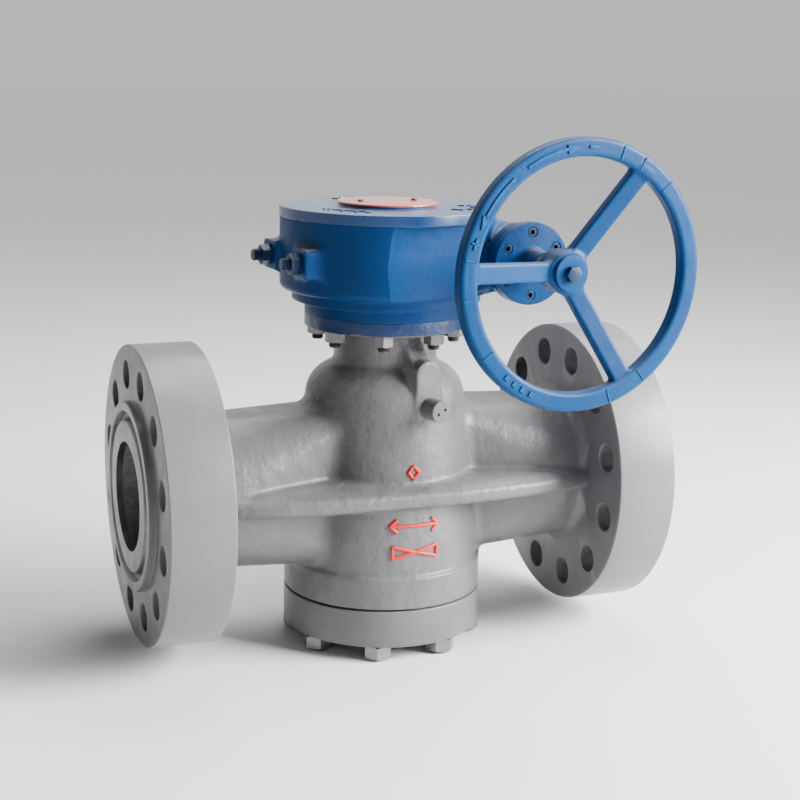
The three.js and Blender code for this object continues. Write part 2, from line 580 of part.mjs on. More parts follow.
function wormBearings() {
  const front = ringY(SHAFT.bearingR + RUNNING, TUBE.boreR - GAP, -BEARING.outer, -BEARING.inner);
  const rear = ringY(SHAFT.bearingR + RUNNING, TUBE.boreR - GAP, BEARING.inner, BEARING.outer);
  return [node('worm_bearing_front', front, bareSteel()), node('worm_bearing_rear', rear, bareSteel())];
}

function frontEndCap() {
  const inner = TUBE.end + GAP;
  const plate = joined(rodY(TUBE.flangeR, -END_CAP.front, -inner),
    rodY(TUBE.boreR - GAP, -inner - 1, -END_CAP.spigot),
    rodY(END_CAP.sleeveR, -END_CAP.sleeveEnd, -END_CAP.front + 1, 16));
  const bore = joined(rodY(SHAFT.r + RUNNING, -190, -110, 16), rodY(SEAL.r + GAP, -190, -SEAL.back, 16));
  const hole = joined(rodY(END_CAP.screwR + GAP, -150, -110, 6),
    rodY(END_CAP.headR + 0.5, -150, -END_CAP.front + 8, 8)).translate([0, 0, END_CAP.screwCircle]);
  const holes = Array.from({ length: 6 }, (_, k) => hole.rotate([0, 60 * k, 0]));
  return node('front_end_cap', cut(plate, bore, ...holes), bluePaint());
}

function rearEndCap() {
  const inner = TUBE.end + GAP;
  const plate = joined(rodY(TUBE.flangeR, inner, END_CAP.front),
    rodY(TUBE.boreR - GAP, END_CAP.spigot, inner + 1));
  return node('rear_end_cap', plate, bluePaint());
}

function capScrew() {
  const shank = rodY(END_CAP.screwR, -END_CAP.front + 7, -END_CAP.front + 30, 6);
  const head = rodY(END_CAP.headR, -END_CAP.front + 0.5, -END_CAP.front + 8 - GAP, 8);
  const socket = rodY(3.4, -END_CAP.front - 1, -END_CAP.front + 4.5, 6);
  return cut(joined(shank, head), socket);
}

// Handwheel: flat-sided rim, three spokes that drop back to the hub, and a stepped hub.
function handwheel() {
  const inner = WHEEL.r - WHEEL.rimRadial;
  const back = -WHEEL.plane + WHEEL.rimAxial / 2;
  const front = -WHEEL.plane - WHEEL.rimAxial / 2;
  const round = 5;
  const section = [
    [inner + round, front], [WHEEL.r - round, front], [WHEEL.r, -WHEEL.plane],
    [WHEEL.r - round, back], [inner + round, back], [inner, -WHEEL.plane], [inner + round, front],
  ];
  const rim = solid(new THREE.LatheGeometry(section.map(([r, y]) => new THREE.Vector2(r, y)), 40));
  const hubCore = rodY(WHEEL_HUB.r, -WHEEL_HUB.front, -WHEEL_HUB.back);
  const spokes = [0, 120, 240].map((turn) => wheelSpoke(inner).rotate([0, -(WHEEL.spokeTurn + turn), 0]));
  const bore = rodY(SHAFT.r + GAP, -WHEEL.plane, -190, 16);
  const keyway = block(-WHEEL_KEY.halfWidth - GAP, WHEEL_KEY.halfWidth + GAP, -WHEEL.plane, -190, 8,
    WHEEL_KEY.high + GAP);
  return node('handwheel', cut(joined(rim, hubCore, ...spokes), bore, keyway), bluePaint());
}

// One spoke along +X: from the hub at the back to the rim in front.
function wheelSpoke(inner) {
  const w = WHEEL.spokeWidth / 2;
  const d = WHEEL.spokeDepth / 2;
  const hubY = -(WHEEL_HUB.front + WHEEL_HUB.back) / 2 - 4;
  const points = [];
  for (const [x, y] of [[16, hubY], [inner + 6, -WHEEL.plane + 1]]) {
    for (const z of [-1, 1]) {
      points.push([x, y - d, z * (w - 3)], [x, y - d + 3, z * w], [x, y + d - 3, z * w], [x, y + d, z * (w - 3)]);
    }
  }
  return hull(points);
}

function wheelFixings() {
  const washer = ringY(6.5, RETAINER.r, -RETAINER.front, -WHEEL_HUB.front - GAP, 16);
  const bolt = joined(hexY(RETAINER.boltFlats, -RETAINER.boltFront, -RETAINER.front - GAP),
    rodY(6, -RETAINER.front - 1, -SHAFT.end + 24, 12));
  const key = block(-WHEEL_KEY.halfWidth, WHEEL_KEY.halfWidth, -WHEEL_KEY.front, -WHEEL_KEY.back, WHEEL_KEY.low,
    WHEEL_KEY.high);
  const seal = ringY(SHAFT.r + RUNNING, SEAL.r, -END_CAP.sleeveEnd + 1, -SEAL.back - GAP, 16);
  return [
    node('handwheel_washer', washer, bluePaint()),
    node('handwheel_bolt', bolt, bluePaint()),
    node('handwheel_key', key, bareSteel()),
    node('shaft_seal', seal, rubber()),
  ];
}

function wormLine() {
  const group = new THREE.Group();
  group.position.set(WORM.x, 0, WORM.z);
  group.add(wormShaft(), ...wormBearings(), frontEndCap(), rearEndCap(), handwheel(), ...wheelFixings());
  for (let k = 0; k < 6; k += 1) {
    const turn = THREE.MathUtils.degToRad(60 * k);
    const mesh = node(`end_cap_screw_${k + 1}`, capScrew(), darkSteel());
    mesh.rotation.y = turn;
    mesh.position.set(END_CAP.screwCircle * Math.sin(turn), 0, END_CAP.screwCircle * Math.cos(turn));
    group.add(mesh);
  }
  return group;
}

// ---- assembly ----
function studCircle(prefix, circleR, make) {
  return Array.from({ length: 8 }, (_, k) => {
    const angle = THREE.MathUtils.degToRad(22.5 + 45 * k);
    const mesh = node(`${prefix}_${k + 1}`, make(), platedSteel());
    mesh.position.set(circleR * Math.cos(angle), circleR * Math.sin(angle), 0);
    mesh.rotation.z = angle;
    return mesh;
  });
}

const operator = new THREE.Group();
operator.rotation.z = THREE.MathUtils.degToRad(YAW_DEGREES);
operator.add(gearboxHousing(), gearboxCover(), wormWheel(), ...wheelFittings());
operator.add(...indicator(), ...stopScrews(), wormLine());

const valve = new THREE.Group();
valve.position.z = BORE_HEIGHT;
valve.add(valveBody(), bottomCover(), coverGasket());
valve.add(...studCircle('cover_stud', COVER_STUD.circleR, coverStud));
valve.add(...adjustingParts(), plug(), equalizerRing(), stem(), ...stemSeals(), sealantParts());
valve.add(...studCircle('mounting_stud', MOUNT_STUD.circleR, mountingStud), operator);

const assembly = new THREE.Group();
assembly.add(valve);

export default assembly;
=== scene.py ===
import json
import math

import bmesh
import bpy
import numpy as np
from mathutils import Matrix, Vector


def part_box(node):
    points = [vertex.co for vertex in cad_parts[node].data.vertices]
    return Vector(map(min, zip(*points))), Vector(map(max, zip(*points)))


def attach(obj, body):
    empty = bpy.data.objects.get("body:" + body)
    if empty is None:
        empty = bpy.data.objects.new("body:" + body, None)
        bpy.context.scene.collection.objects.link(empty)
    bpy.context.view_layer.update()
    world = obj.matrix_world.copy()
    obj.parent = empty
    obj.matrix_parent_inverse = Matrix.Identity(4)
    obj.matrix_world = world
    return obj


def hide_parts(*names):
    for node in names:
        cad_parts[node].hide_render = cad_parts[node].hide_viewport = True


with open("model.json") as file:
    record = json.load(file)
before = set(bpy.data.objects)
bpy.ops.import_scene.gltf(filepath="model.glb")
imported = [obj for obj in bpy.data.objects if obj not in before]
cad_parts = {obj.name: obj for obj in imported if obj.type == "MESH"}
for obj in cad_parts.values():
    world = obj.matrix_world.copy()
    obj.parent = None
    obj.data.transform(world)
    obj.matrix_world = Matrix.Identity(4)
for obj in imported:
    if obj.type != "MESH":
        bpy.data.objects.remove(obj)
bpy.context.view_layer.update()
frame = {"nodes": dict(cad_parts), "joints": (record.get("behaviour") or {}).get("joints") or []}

# ---------------------------------------------------------------------------------------------
# Valve body: one sand casting in carbon steel with a ring-joint flange at each end.
# Tall oval necks run from the round flange bores to the tapered plug chamber, and a drafted web
# goes right round. The joint faces, bores and bolt holes are machined after casting.
# ---------------------------------------------------------------------------------------------
body_low, body_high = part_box("valve_body")
flange_r = (body_high.y - body_low.y) / 2
bore_z = body_low.z + flange_r
joint_face = body_high.x
rim_inner, rim_outer = 0.263, 0.346
raised_r, groove_inner, groove_outer, groove_depth = 0.124, 0.0988, 0.1123, 0.0095
bore_r, neck_r, root_r = 0.072, 0.104, 0.016
top_flange_r, top_flange_low, top_flange_high, stem_neck_r = 0.110, 0.212, 0.230, 0.070
foot_r, foot_top, joint_low = 0.1355, -0.103, -0.149
port_half_y, port_half_z = 0.038, 0.078
chamber_levels = [-0.1, -0.06, 0.02, 0.06, 0.1]
chamber_radii = [0.131, 0.130, 0.1195, 0.1155, 0.109]
bolt_circle_r, cover_circle_r, mounting_circle_r = 0.15875, 0.117, 0.092
first_stud = 22.5
sharp_angle = math.radians(33)


def soft_join(a, b, blend):
    """Two cast forms grown together with a fillet."""
    overlap = np.maximum(blend - np.abs(a - b), 0) / blend
    return np.minimum(a, b) - overlap * overlap * blend / 4


def soft_cut(a, b, blend):
    """What two cast forms share, with its edge rounded over."""
    return -soft_join(-a, -b, blend)


def rounded(a, b):
    """Section bounded two ways, whose corner turns round once a radius is taken off it."""
    return np.hypot(np.maximum(a, 0), np.maximum(b, 0)) + np.minimum(np.maximum(a, b), 0)


def cast(name, form, low, high, step):
    """Mesh of a cast form: form(x, y, z) is negative inside, and step is the size of a facet."""
    counts = [math.ceil((b - a) / step) + 1 for a, b in zip(low, high)]
    axes = [a + step * np.arange(count) for a, count in zip(low, counts)]
    depth = form(*np.meshgrid(*axes, indexing="ij", sparse=True))
    cells, crossings = [], []
    for axis in range(3):
        start = [slice(None, -1) if k == axis else slice(1, -1) for k in range(3)]
        end = [slice(1, None) if k == axis else slice(1, -1) for k in range(3)]
        before, after = depth[tuple(start)], depth[tuple(end)]
        where = np.argwhere((before < 0) != (after < 0))
        first, last = before[tuple(where.T)], after[tuple(where.T)]
        where = where + [0 if k == axis else 1 for k in range(3)]
        crossing = where.astype(float)
        crossing[:, axis] += first / (first - last)
        corners = []
        for back_u, back_v in ((0, 0), (1, 0), (1, 1), (0, 1)):
            cell = where.copy()
            cell[:, (axis + 1) % 3] -= back_u
            cell[:, (axis + 2) % 3] -= back_v
            corners.append(np.ravel_multi_index(tuple(cell.T), counts))
        quads = np.stack(corners, 1)
        quads[first > 0] = quads[first > 0][:, ::-1]
        cells.append(quads)
        crossings.append(np.repeat(crossing, 4, axis=0))
    cells, crossings = np.concatenate(cells), np.concatenate(crossings)
    faces = np.unique(cells.ravel(), return_inverse=True)[1]
    total = np.bincount(faces)
    points = np.stack([np.bincount(faces, weights=crossings[:, k]) / total for k in range(3)], 1)
    points = np.array(low) + points * step
    nudge = step / 20
    for _ in range(2):
        x, y, z = points.T
        here = form(x, y, z)
        slope = np.stack([form(x + nudge, y, z), form(x, y + nudge, z), form(x, y, z + nudge)], 1)
        slope = (slope - here[:, None]) / nudge
        size = np.maximum((slope * slope).sum(1), 0.25)
        points -= np.clip(slope * (here / size)[:, None], -step / 2, step / 2)
    return shape(name, points, faces.reshape(-1, 4))


def shape(name, points, faces, place=None):
    """Object from points and faces, with its normals outward and its sharp edges marked."""
    mesh = bpy.data.meshes.new(name)
    mesh.from_pydata(np.asarray(points).tolist(), [], [list(map(int, face)) for face in faces])
    if place is not None:
        mesh.transform(place)
    build = bmesh.new()
    build.from_mesh(mesh)
    bmesh.ops.recalc_face_normals(build, faces=build.faces)
    build.to_mesh(mesh)
    build.free()
    mesh.shade_smooth()
    mesh.set_sharp_from_angle(angle=sharp_angle)
    piece = bpy.data.objects.new(name, mesh)
    bpy.context.scene.collection.objects.link(piece)
    return piece


def eased(outline, radius, turns=4):
    """Outline with each corner between its ends rounded."""
    points = [Vector(point) for point in outline]
    result = [points[0]]
    for before, corner, after in zip(points, points[1:], points[2:]):
        into, out = corner - before, after - corner
        reach = min(radius, into.length * 0.45, out.length * 0.45)
        start, end = corner - into.normalized() * reach, corner + out.normalized() * reach
        for k in range(turns + 1):
            t = k / turns
            result.append(start * (1 - t) ** 2 + corner * (2 * t * (1 - t)) + end * t * t)
    return [(p.x, p.y) for p in [*result, points[-1]]]


def turned(name, outline, place=None, sides=96):
    """Closed piece turned about Z from (radius, height) points: from axis to axis, or a ring."""
    angle = 2 * np.pi * np.arange(sides) / sides
    ring_like = outline[0] == outline[-1]
    stations = outline[:-1] if ring_like else outline
    points, rows = [], []
    for radius, height in stations:
        if radius < 1e-7:
            rows.append([len(points)] * sides)
            points.append((0, 0, height))
            continue
        rows.append(list(range(len(points), len(points) + sides)))
        points.extend(zip(radius * np.cos(angle), radius * np.sin(angle), [height] * sides))
    faces = []
    for row, following in zip(rows, [*rows[1:], rows[0]] if ring_like else rows[1:]):
        for k in range(sides):
            j = (k + 1) % sides
            loop = list(dict.fromkeys((row[k], row[j], following[j], following[k])))
            if len(loop) > 2:
                faces.append(loop)
    return shape(name, points, faces, place)


def skinned(name, rings, place=None):
    """Closed piece skinned over rings of points, one after another, and capped at both ends."""
    count, last = len(rings[0]), len(rings) - 1
    points = [point for ring in rings for point in ring]
    faces = [range(count), range(last * count, (last + 1) * count)]
    for start in range(0, last * count, count):
        for k in range(count):
            j = (k + 1) % count
            faces.append((start + k, start + j, start + count + j, start + count + k))
    return shape(name, points, faces, place)


def rod(radius, low, high, place=None, sides=96):
    """Plain round cutter about Z."""
    return turned("cutter", [(0, low), (radius, low), (radius, high), (0, high)], place, sides)


def drill(radius, low, high, chamfer, place=None, sides=40):
    """Cutter for a hole with a small chamfer at both mouths, run out past them at 45 degrees."""
    past = 0.004
    flare = radius + chamfer + past
    outline = [(0, low - past), (flare, low - past), (radius, low + chamfer),
               (radius, high - chamfer), (flare, high + past), (0, high + past)]
    return turned("cutter", outline, place, sides)


def worked(piece, cutters, operation="DIFFERENCE"):
    """The piece after each cutter has been cut from it, or joined to it; the cutters are used up."""
    for cutter in cutters:
        change = piece.modifiers.new(operation, "BOOLEAN")
        change.operation, change.solver, change.object = operation, "MANIFOLD", cutter
    evaluated = piece.evaluated_get(bpy.context.evaluated_depsgraph_get())
    mesh = bpy.data.meshes.new_from_object(evaluated)
    piece.modifiers.clear()
    piece.data = mesh
    mesh.shade_smooth()
    mesh.set_sharp_from_angle(angle=sharp_angle)
    for cutter in cutters:
        bpy.data.objects.remove(cutter)
    return piece


def along_x(side=1):
    """Turns a piece made about Z to lie along the bore, pointing to one end."""
    return Matrix.Translation((0, 0, bore_z)) @ Matrix.Rotation(side * math.pi / 2, 4, "Y")


def around(count, first, radius, axis_place):
    """Places for like pieces on a circle about Z of the given frame."""
    for k in range(count):
        angle = math.radians(first + 360 / count * k)
        yield axis_place @ Matrix.Rotation(angle, 4, "Z") @ Matrix.Translation((radius, 0, 0))


boss_turn = math.radians(12)
boss_half, boss_face, boss_z, boss_top, boss_aside = 0.0195, 0.108, 0.116, 0.159, 0.001


def body_form(x, y, z):
    z = z - bore_z
    far, wide = np.abs(x), np.abs(y)
    r = np.hypot(x, y)
    chamber = r - np.interp(z, chamber_levels, chamber_radii)
    crown = (z - 0.163 - (stem_neck_r - r) * 0.42) * 0.92
    form = soft_cut(soft_cut(chamber, crown, 0.034), joint_low - z, 0.002)
    stem_neck = np.maximum(r - stem_neck_r, np.maximum(z - top_flange_low - 0.003, -z))
    form = soft_join(form, stem_neck, 0.008)
    foot = soft_cut(r - foot_r, z - foot_top + np.maximum(r - 0.129, 0) * 0.6, 0.002)
    form = soft_join(form, np.maximum(foot, joint_low - z), 0.003)
    # Each neck is the hull of the round flange end and a tall oval at the chamber.
    share = np.clip((0.228 - far) / 0.138, 0, 1.1)
    core_y, core_z = wide - share * 0.035, np.abs(z) - share * 0.069
    root = np.clip((far - rim_inner + root_r) / root_r, 0, 1)
    neck = rounded(core_y, core_z) - (neck_r - share * 0.069 + root_r * (1 - np.sqrt(1 - root * root)))
    flat = wide - (neck_r - share * 0.034 - share * 0.0028)
    neck = np.maximum(soft_cut(neck, flat, 0.0015), far - rim_inner - 0.006)
    form = soft_join(form, neck, 0.014)
    # The web's faces draft up to the chamber, and its outer edge is rounded over.
    edge = 0.1425 - 0.036 * (far / 0.265) ** 3
    inward = np.maximum(edge - wide, 0)
    half_depth = 0.008 + 0.0105 * (1 - np.exp(-inward / 0.02))
    web = soft_cut(np.abs(z - 0.001) - half_depth, (wide - edge) * 0.95, 0.007)
    form = soft_join(form, np.maximum(web, far - rim_inner - 0.006), 0.007)
    # Sealant boss: an upright pad with round ends, turned a little from the front, and the brace that
    # ties it back to the stem neck.
    across = x * math.cos(boss_turn) + y * math.sin(boss_turn)
    outward = x * math.sin(boss_turn) - y * math.cos(boss_turn)
    beyond = np.minimum(z - boss_z, 0) + np.maximum(z - boss_top, 0)
    aside = across + boss_aside
    inner_end = 0.05 - outward
    pad = soft_cut(np.hypot(aside, beyond) - boss_half, outward - boss_face, 0.0035)
    pad = np.maximum(pad, inner_end)
    lean = (outward - boss_face + 0.003 + np.maximum(z - 0.156, 0) * 0.9) * 0.74
    brace = soft_cut(np.abs(aside) - boss_half + 0.003, np.maximum(lean, z - top_flange_low - 0.003), 0.006)
    brace = np.maximum(brace, np.maximum(inner_end, boss_z - z))
    return soft_join(form, soft_join(brace, pad, 0.005), 0.007)


def end_flange(side):
    """Machined flange: rim, back face, raised face, ring groove and twelve bolt holes."""
    outline = eased([(0, rim_inner), (flange_r, rim_inner), (flange_r, rim_outer), (raised_r, rim_outer),
                     (raised_r, joint_face), (groove_outer, joint_face),
                     (groove_outer - 0.0035, joint_face - groove_depth),
                     (groove_inner + 0.0035, joint_face - groove_depth), (groove_inner, joint_face),
                     (0, joint_face)], 0.0018)
    plate = turned("flange", outline, along_x(side), 128)
    bolt_hole_r = 0.01905
    holes = [drill(bolt_hole_r, rim_inner, rim_outer, 0.0012, place)
             for place in around(12, 15, bolt_circle_r, along_x(side))]
    return worked(plate, holes)


def oval_ring(x, half_y, half_z, power, sides):
    """Ring of points round the bore: an ellipse at a power of 1, and squarer as the power falls."""
    ring = []
    for k in range(sides):
        c, s = math.cos(2 * math.pi * k / sides), math.sin(2 * math.pi * k / sides)
        y, z = half_y * math.copysign(abs(c) ** power, c), half_z * math.copysign(abs(s) ** power, s)
        ring.append((x, y, bore_z + z))
    return ring


def flow_way(side):
    """Round bore that draws in to the tall slot of the plug chamber, as a cutter."""
    rings = []
    for distance, slotted in ((0.048, 1), (0.072, 1), (0.14, 0.55), (0.2, 0.08), (0.215, 0), (0.358, 0),
                              (0.362, 0)):
        half_y = bore_r + (port_half_y - bore_r) * slotted
        half_z = bore_r + (port_half_z - bore_r) * slotted
        rings.append(oval_ring(side * distance, half_y, half_z, 1 / (1 + 1.2 * slotted), 64))
    return skinned("cutter", rings)


taper = math.radians(3.9)


def taper_r(z):
    """Radius of the plug's taper at a height above the bore."""
    return 0.0865 - z * math.tan(taper)


on_axis = Matrix.Translation((0, 0, bore_z))
facet = 0.0026
casting = cast("valve_body_casting", body_form, (-0.279, -0.156, bore_z - 0.172),
               (0.279, 0.156, bore_z + 0.225), facet)
stem_flange = turned("stem_flange",
                     eased([(0, 0.204), (0.066, 0.204), (stem_neck_r, top_flange_low),
                            (top_flange_r, top_flange_low), (top_flange_r, top_flange_high),
                            (0, top_flange_high)], 0.0012), on_axis)
casting = worked(casting, [stem_flange, end_flange(-1), end_flange(1)], "UNION")
below, film = -0.16, 0.0008
chamber_cut = turned("cutter", [(0, below), (taper_r(below) + film, below),
                                (taper_r(0.128) + film, 0.128), (0, 0.128)], on_axis)
below_cut = rod(0.15, below, joint_low + 0.001, on_axis, 32)
stem_cut = turned("cutter", [(0, 0.12), (0.041, 0.12), (0.041, 0.156), (0.0303, 0.156), (0.0303, 0.1897),
                             (0.0418, 0.1897), (0.0418, 0.232), (0, 0.232)], on_axis, 64)
cover_taps = [drill(0.0113, below, -0.112, 0.0, place, 24)
              for place in around(8, first_stud, cover_circle_r, on_axis)]
mounting_holes = [drill(0.0083, top_flange_low, top_flange_high, 0.0005, place, 24)
                  for place in around(8, first_stud, mounting_circle_r, on_axis)]
out_of_boss = (on_axis @ Matrix.Rotation(boss_turn, 4, "Z") @ Matrix.Translation((0, 0, boss_z))
               @ Matrix.Rotation(math.pi / 2, 4, "X"))
sealant_hole = turned("cutter", [(0, 0.066), (0.003, 0.066), (0.003, 0.084), (0.0093, 0.084),
                                 (0.0093, boss_face - 0.001), (0.0123, boss_face + 0.002),
                                 (0, boss_face + 0.002)], out_of_boss, 32)
casting = worked(casting, [chamber_cut, below_cut, stem_cut, flow_way(-1), flow_way(1), sealant_hole,
                           *cover_taps, *mounting_holes])


def finish_of(name):
    """A new material with its node tree and its surface shader."""
    material = bpy.data.materials.new(name)
    material.use_nodes = True
    return material, material.node_tree, material.node_tree.nodes["Principled BSDF"]


def step_of(tree, kind, settings=None, **sockets):
    """One node: settings are its own properties, and each socket gets a value or a link."""
    made = tree.nodes.new("ShaderNode" + kind)
    for key, value in (settings or {}).items():
        setattr(made, key, value)
    for key, value in sockets.items():
        numbered = key[0] == "i" and key[1:].isdigit()
        socket = made.inputs[int(key[1:]) if numbered else key.replace("_", " ")]
        if isinstance(value, bpy.types.NodeSocket):
            tree.links.new(value, socket)
        else:
            socket.default_value = value
    return made


def ramp(tree, value, low, high, first=0.0, last=1.0):
    """A value's span from low to high, spread from first to last and held beyond."""
    return step_of(tree, "MapRange", Value=value, i1=low, i2=high, i3=first, i4=last).outputs["Result"]


def reckon(tree, operation, first, second=0.0, clamp=True):
    """Two values, or one, put together by arithmetic."""
    return step_of(tree, "Math", {"operation": operation, "use_clamp": clamp}, i0=first, i1=second).outputs[0]


def coordinates(tree):
    """The x, y and z of a point in the piece's own space."""
    place = step_of(tree, "SeparateXYZ", Vector=step_of(tree, "TexCoord").outputs["Object"])
    return [place.outputs[k] for k in "XYZ"]


def out_from(tree, first, second):
    """Distance from an axis, from the two coordinates across it."""
    plan = step_of(tree, "CombineXYZ", X=first, Y=second).outputs["Vector"]
    return step_of(tree, "VectorMath", {"operation": "LENGTH"}, i0=plan).outputs["Value"]


def facing_up(tree):
    """1 on level tops, 0 on walls."""
    return step_of(tree, "SeparateXYZ", Vector=step_of(tree, "NewGeometry").outputs["Normal"]).outputs["Z"]


def mottle(tree, scale, low, high, detail=4.0, rough=0.55, stretch=None):
    """Noise in the piece's own space, spread between low and high."""
    place = step_of(tree, "TexCoord").outputs["Object"]
    if stretch:
        place = step_of(tree, "Mapping", Vector=place, Scale=stretch).outputs["Vector"]
    noise = step_of(tree, "TexNoise", Vector=place, Scale=scale, Detail=detail, Roughness=rough)
    return ramp(tree, noise.outputs["Fac"], 0.3, 0.7, low, high)


def blend_of(tree, share, first, second):
    """Colour between two colours, or two colour sockets, by a share."""
    mix = step_of(tree, "Mix", {"data_type": "RGBA"}, Factor=share)
    for socket, value in ((mix.inputs[6], first), (mix.inputs[7], second)):
        if isinstance(value, bpy.types.NodeSocket):
            tree.links.new(value, socket)
        else:
            socket.default_value = (*value, 1)
    return mix.outputs[2]


def both(tree, first, second):
    """Share where two shares hold together."""
    return reckon(tree, "MULTIPLY", first, second)


def relief(tree, *layers):
    """Bump made of (height socket, strength, distance) layers, one over the other."""
    normal = None
    for height, strength, distance in layers:
        bump = step_of(tree, "Bump", Height=height, Strength=strength, Distance=distance)
        if normal is not None:
            tree.links.new(normal, bump.inputs["Normal"])
        normal = bump.outputs["Normal"]
    return normal


def worn_edges(tree, low, high):
    """1 on outward edges, 0 elsewhere."""
    return ramp(tree, step_of(tree, "NewGeometry").outputs["Pointiness"], low, high)


def enamel(name, colour, deep, worn, gloss, sand, as_cast=None, shine=1.0):
    """Enamel over a casting: drifts of tone, thin edges, dust on top, orange peel and sand marks."""
    material, tree, shader = finish_of(name)
    tone = blend_of(tree, mottle(tree, 7, 0.0, 1.0), colour, deep)
    tone = blend_of(tree, mottle(tree, 60, -0.35, 0.3, 6), tone, tuple(c * 0.72 for c in colour))
    edges = both(tree, worn_edges(tree, 0.53, 0.6), mottle(tree, 150, 0.0, 1.0, 3))
    tone = blend_of(tree, both(tree, edges, 0.55), tone, worn)
    dust = both(tree, both(tree, facing_up(tree), 0.07), mottle(tree, 22, 0.2, 1.0, 5))
    tone = blend_of(tree, dust, tone, (0.62, 0.60, 0.57))
    specks = ramp(tree, mottle(tree, 420, 0.0, 1.0, 2), 0.93, 1.0, 0.0, 0.4)
    tone = blend_of(tree, specks, tone, tuple(c * 0.45 for c in deep))
    tree.links.new(tone, shader.inputs["Base Color"])
    tree.links.new(mottle(tree, 35, gloss - 0.06, gloss + 0.12), shader.inputs["Roughness"])
    shader.inputs["Specular IOR Level"].default_value = 0.3 * shine
    shader.inputs["Coat Weight"].default_value = 0.1 * (1 + sand) * shine
    shader.inputs["Coat Roughness"].default_value = 0.3
    waves, grains = 0.32 * sand, 0.24 * sand
    if as_cast:
        waves, grains = (both(tree, as_cast(tree), strength) for strength in (waves, grains))
    normal = relief(tree, (mottle(tree, 38, 0, 1, 3), waves, 0.004),
                    (mottle(tree, 260, 0, 1, 4), grains, 0.0012),
                    (mottle(tree, 900, 0, 1, 2), 0.06, 0.0004))
    tree.links.new(normal, shader.inputs["Normal"])
    return material, tree, shader, tone


grey, grey_deep, grey_worn = (0.136, 0.133, 0.140), (0.100, 0.097, 0.104), (0.27, 0.27, 0.28)
blue, blue_deep, blue_worn = (0.0, 0.040, 0.150), (0.0, 0.029, 0.112), (0.0, 0.10, 0.28)
grey_paint = enamel("grey_enamel", grey, grey_deep, grey_worn, 0.34, 0.25)[0]


def away_from_rims(tree):
    """1 on the cast skin, and little on the machined flanges."""
    far = reckon(tree, "ABSOLUTE", coordinates(tree)[0], clamp=False)
    return ramp(tree, far, rim_inner - 0.002, rim_inner, 1.0, 0.12)


def body_finish():
    """Grey enamel, oversprayed blue on the stem flange rim, a painted highlight on the end flange rims, and
    bare turned steel on the joint faces.
    """
    material, tree, shader, tone = enamel("body_enamel", grey, grey_deep, grey_worn, 0.34, 1.0,
                                          away_from_rims)
    x, y, z = coordinates(tree)
    height = reckon(tree, "ADD", z, mottle(tree, 45, -0.0016, 0.0016, 5), clamp=False)
    top = bore_z + top_flange_low
    rim = ramp(tree, out_from(tree, x, y), top_flange_r - 0.0045, top_flange_r - 0.0032)
    seam = ramp(tree, height, top - 0.0022, top - 0.0002, 0.0, 0.75)
    sprayed_band = ramp(tree, height, top + 0.0006, top + 0.0012)
    tone = blend_of(tree, both(tree, seam, rim), tone, (0.16, 0.11, 0.07))
    tone = blend_of(tree, both(tree, sprayed_band, rim), tone, (0.0, 0.020, 0.085))
    far = reckon(tree, "ABSOLUTE", x, clamp=False)
    out = out_from(tree, y, reckon(tree, "SUBTRACT", z, bore_z, clamp=False))
    faced = ramp(tree, far, rim_outer + 0.0002, rim_outer + 0.0012)
    bare = both(tree, faced, ramp(tree, out, raised_r - 0.0004, raised_r - 0.002))
    oiled = blend_of(tree, mottle(tree, 30, 0, 1, 5), (0.15, 0.15, 0.155), (0.09, 0.088, 0.085))
    # Painted highlight: the end flange rims are lightened a little to stand for the light they catch.
    rim_highlight = ramp(tree, out, flange_r - 0.0075, flange_r - 0.001, 0.0, 0.25)
    rim_highlight = both(tree, rim_highlight, ramp(tree, far, rim_inner - 0.002, rim_inner))
    tone = blend_of(tree, rim_highlight, tone, (0.26, 0.255, 0.265))
    tone = blend_of(tree, bare, tone, oiled)
    tree.links.new(tone, shader.inputs["Base Color"])
    tree.links.new(both(tree, bare, 0.85), shader.inputs["Metallic"])
    rings = reckon(tree, "SINE", reckon(tree, "MULTIPLY", out, 9000.0, clamp=False), clamp=False)
    bump = step_of(tree, "Bump", Height=both(tree, rings, bare), Strength=0.25, Distance=0.0003)
    tree.links.new(shader.inputs["Normal"].links[0].from_socket, bump.inputs["Normal"])
    tree.links.new(bump.outputs["Normal"], shader.inputs["Normal"])
    return material


def fitted(piece, body, slot, material, *nodes):
    """Gives a piece its finish, makes it ride on its body and stand for its CAD nodes; the slot is not used.
    """
    piece.data.materials.clear()
    piece.data.materials.append(material)
    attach(piece, body)
    if nodes:
        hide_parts(*nodes)
    return piece


fitted(casting, "valve", "body_paint", body_finish(), "valve_body")

# ---------------------------------------------------------------------------------------------
# Raised casting marks on the front of the chamber, picked out in red: a diamond over the web,
# and under it a flow arrow that points both ways and the bow-tie sign of a valve.
# ---------------------------------------------------------------------------------------------
mark_turn = math.radians(-1.5)


def red_finish():
    """Red paint brushed on by hand."""
    material, tree, shader = finish_of("red_mark_paint")
    tone = blend_of(tree, mottle(tree, 300, -0.1, 0.5, 4), (0.62, 0.008, 0.004), (0.40, 0.006, 0.004))
    tree.links.new(tone, shader.inputs["Base Color"])
    tree.links.new(mottle(tree, 120, 0.32, 0.5), shader.inputs["Roughness"])
    tree.links.new(relief(tree, (mottle(tree, 500, 0, 1, 3), 0.4, 0.0008)), shader.inputs["Normal"])
    return material


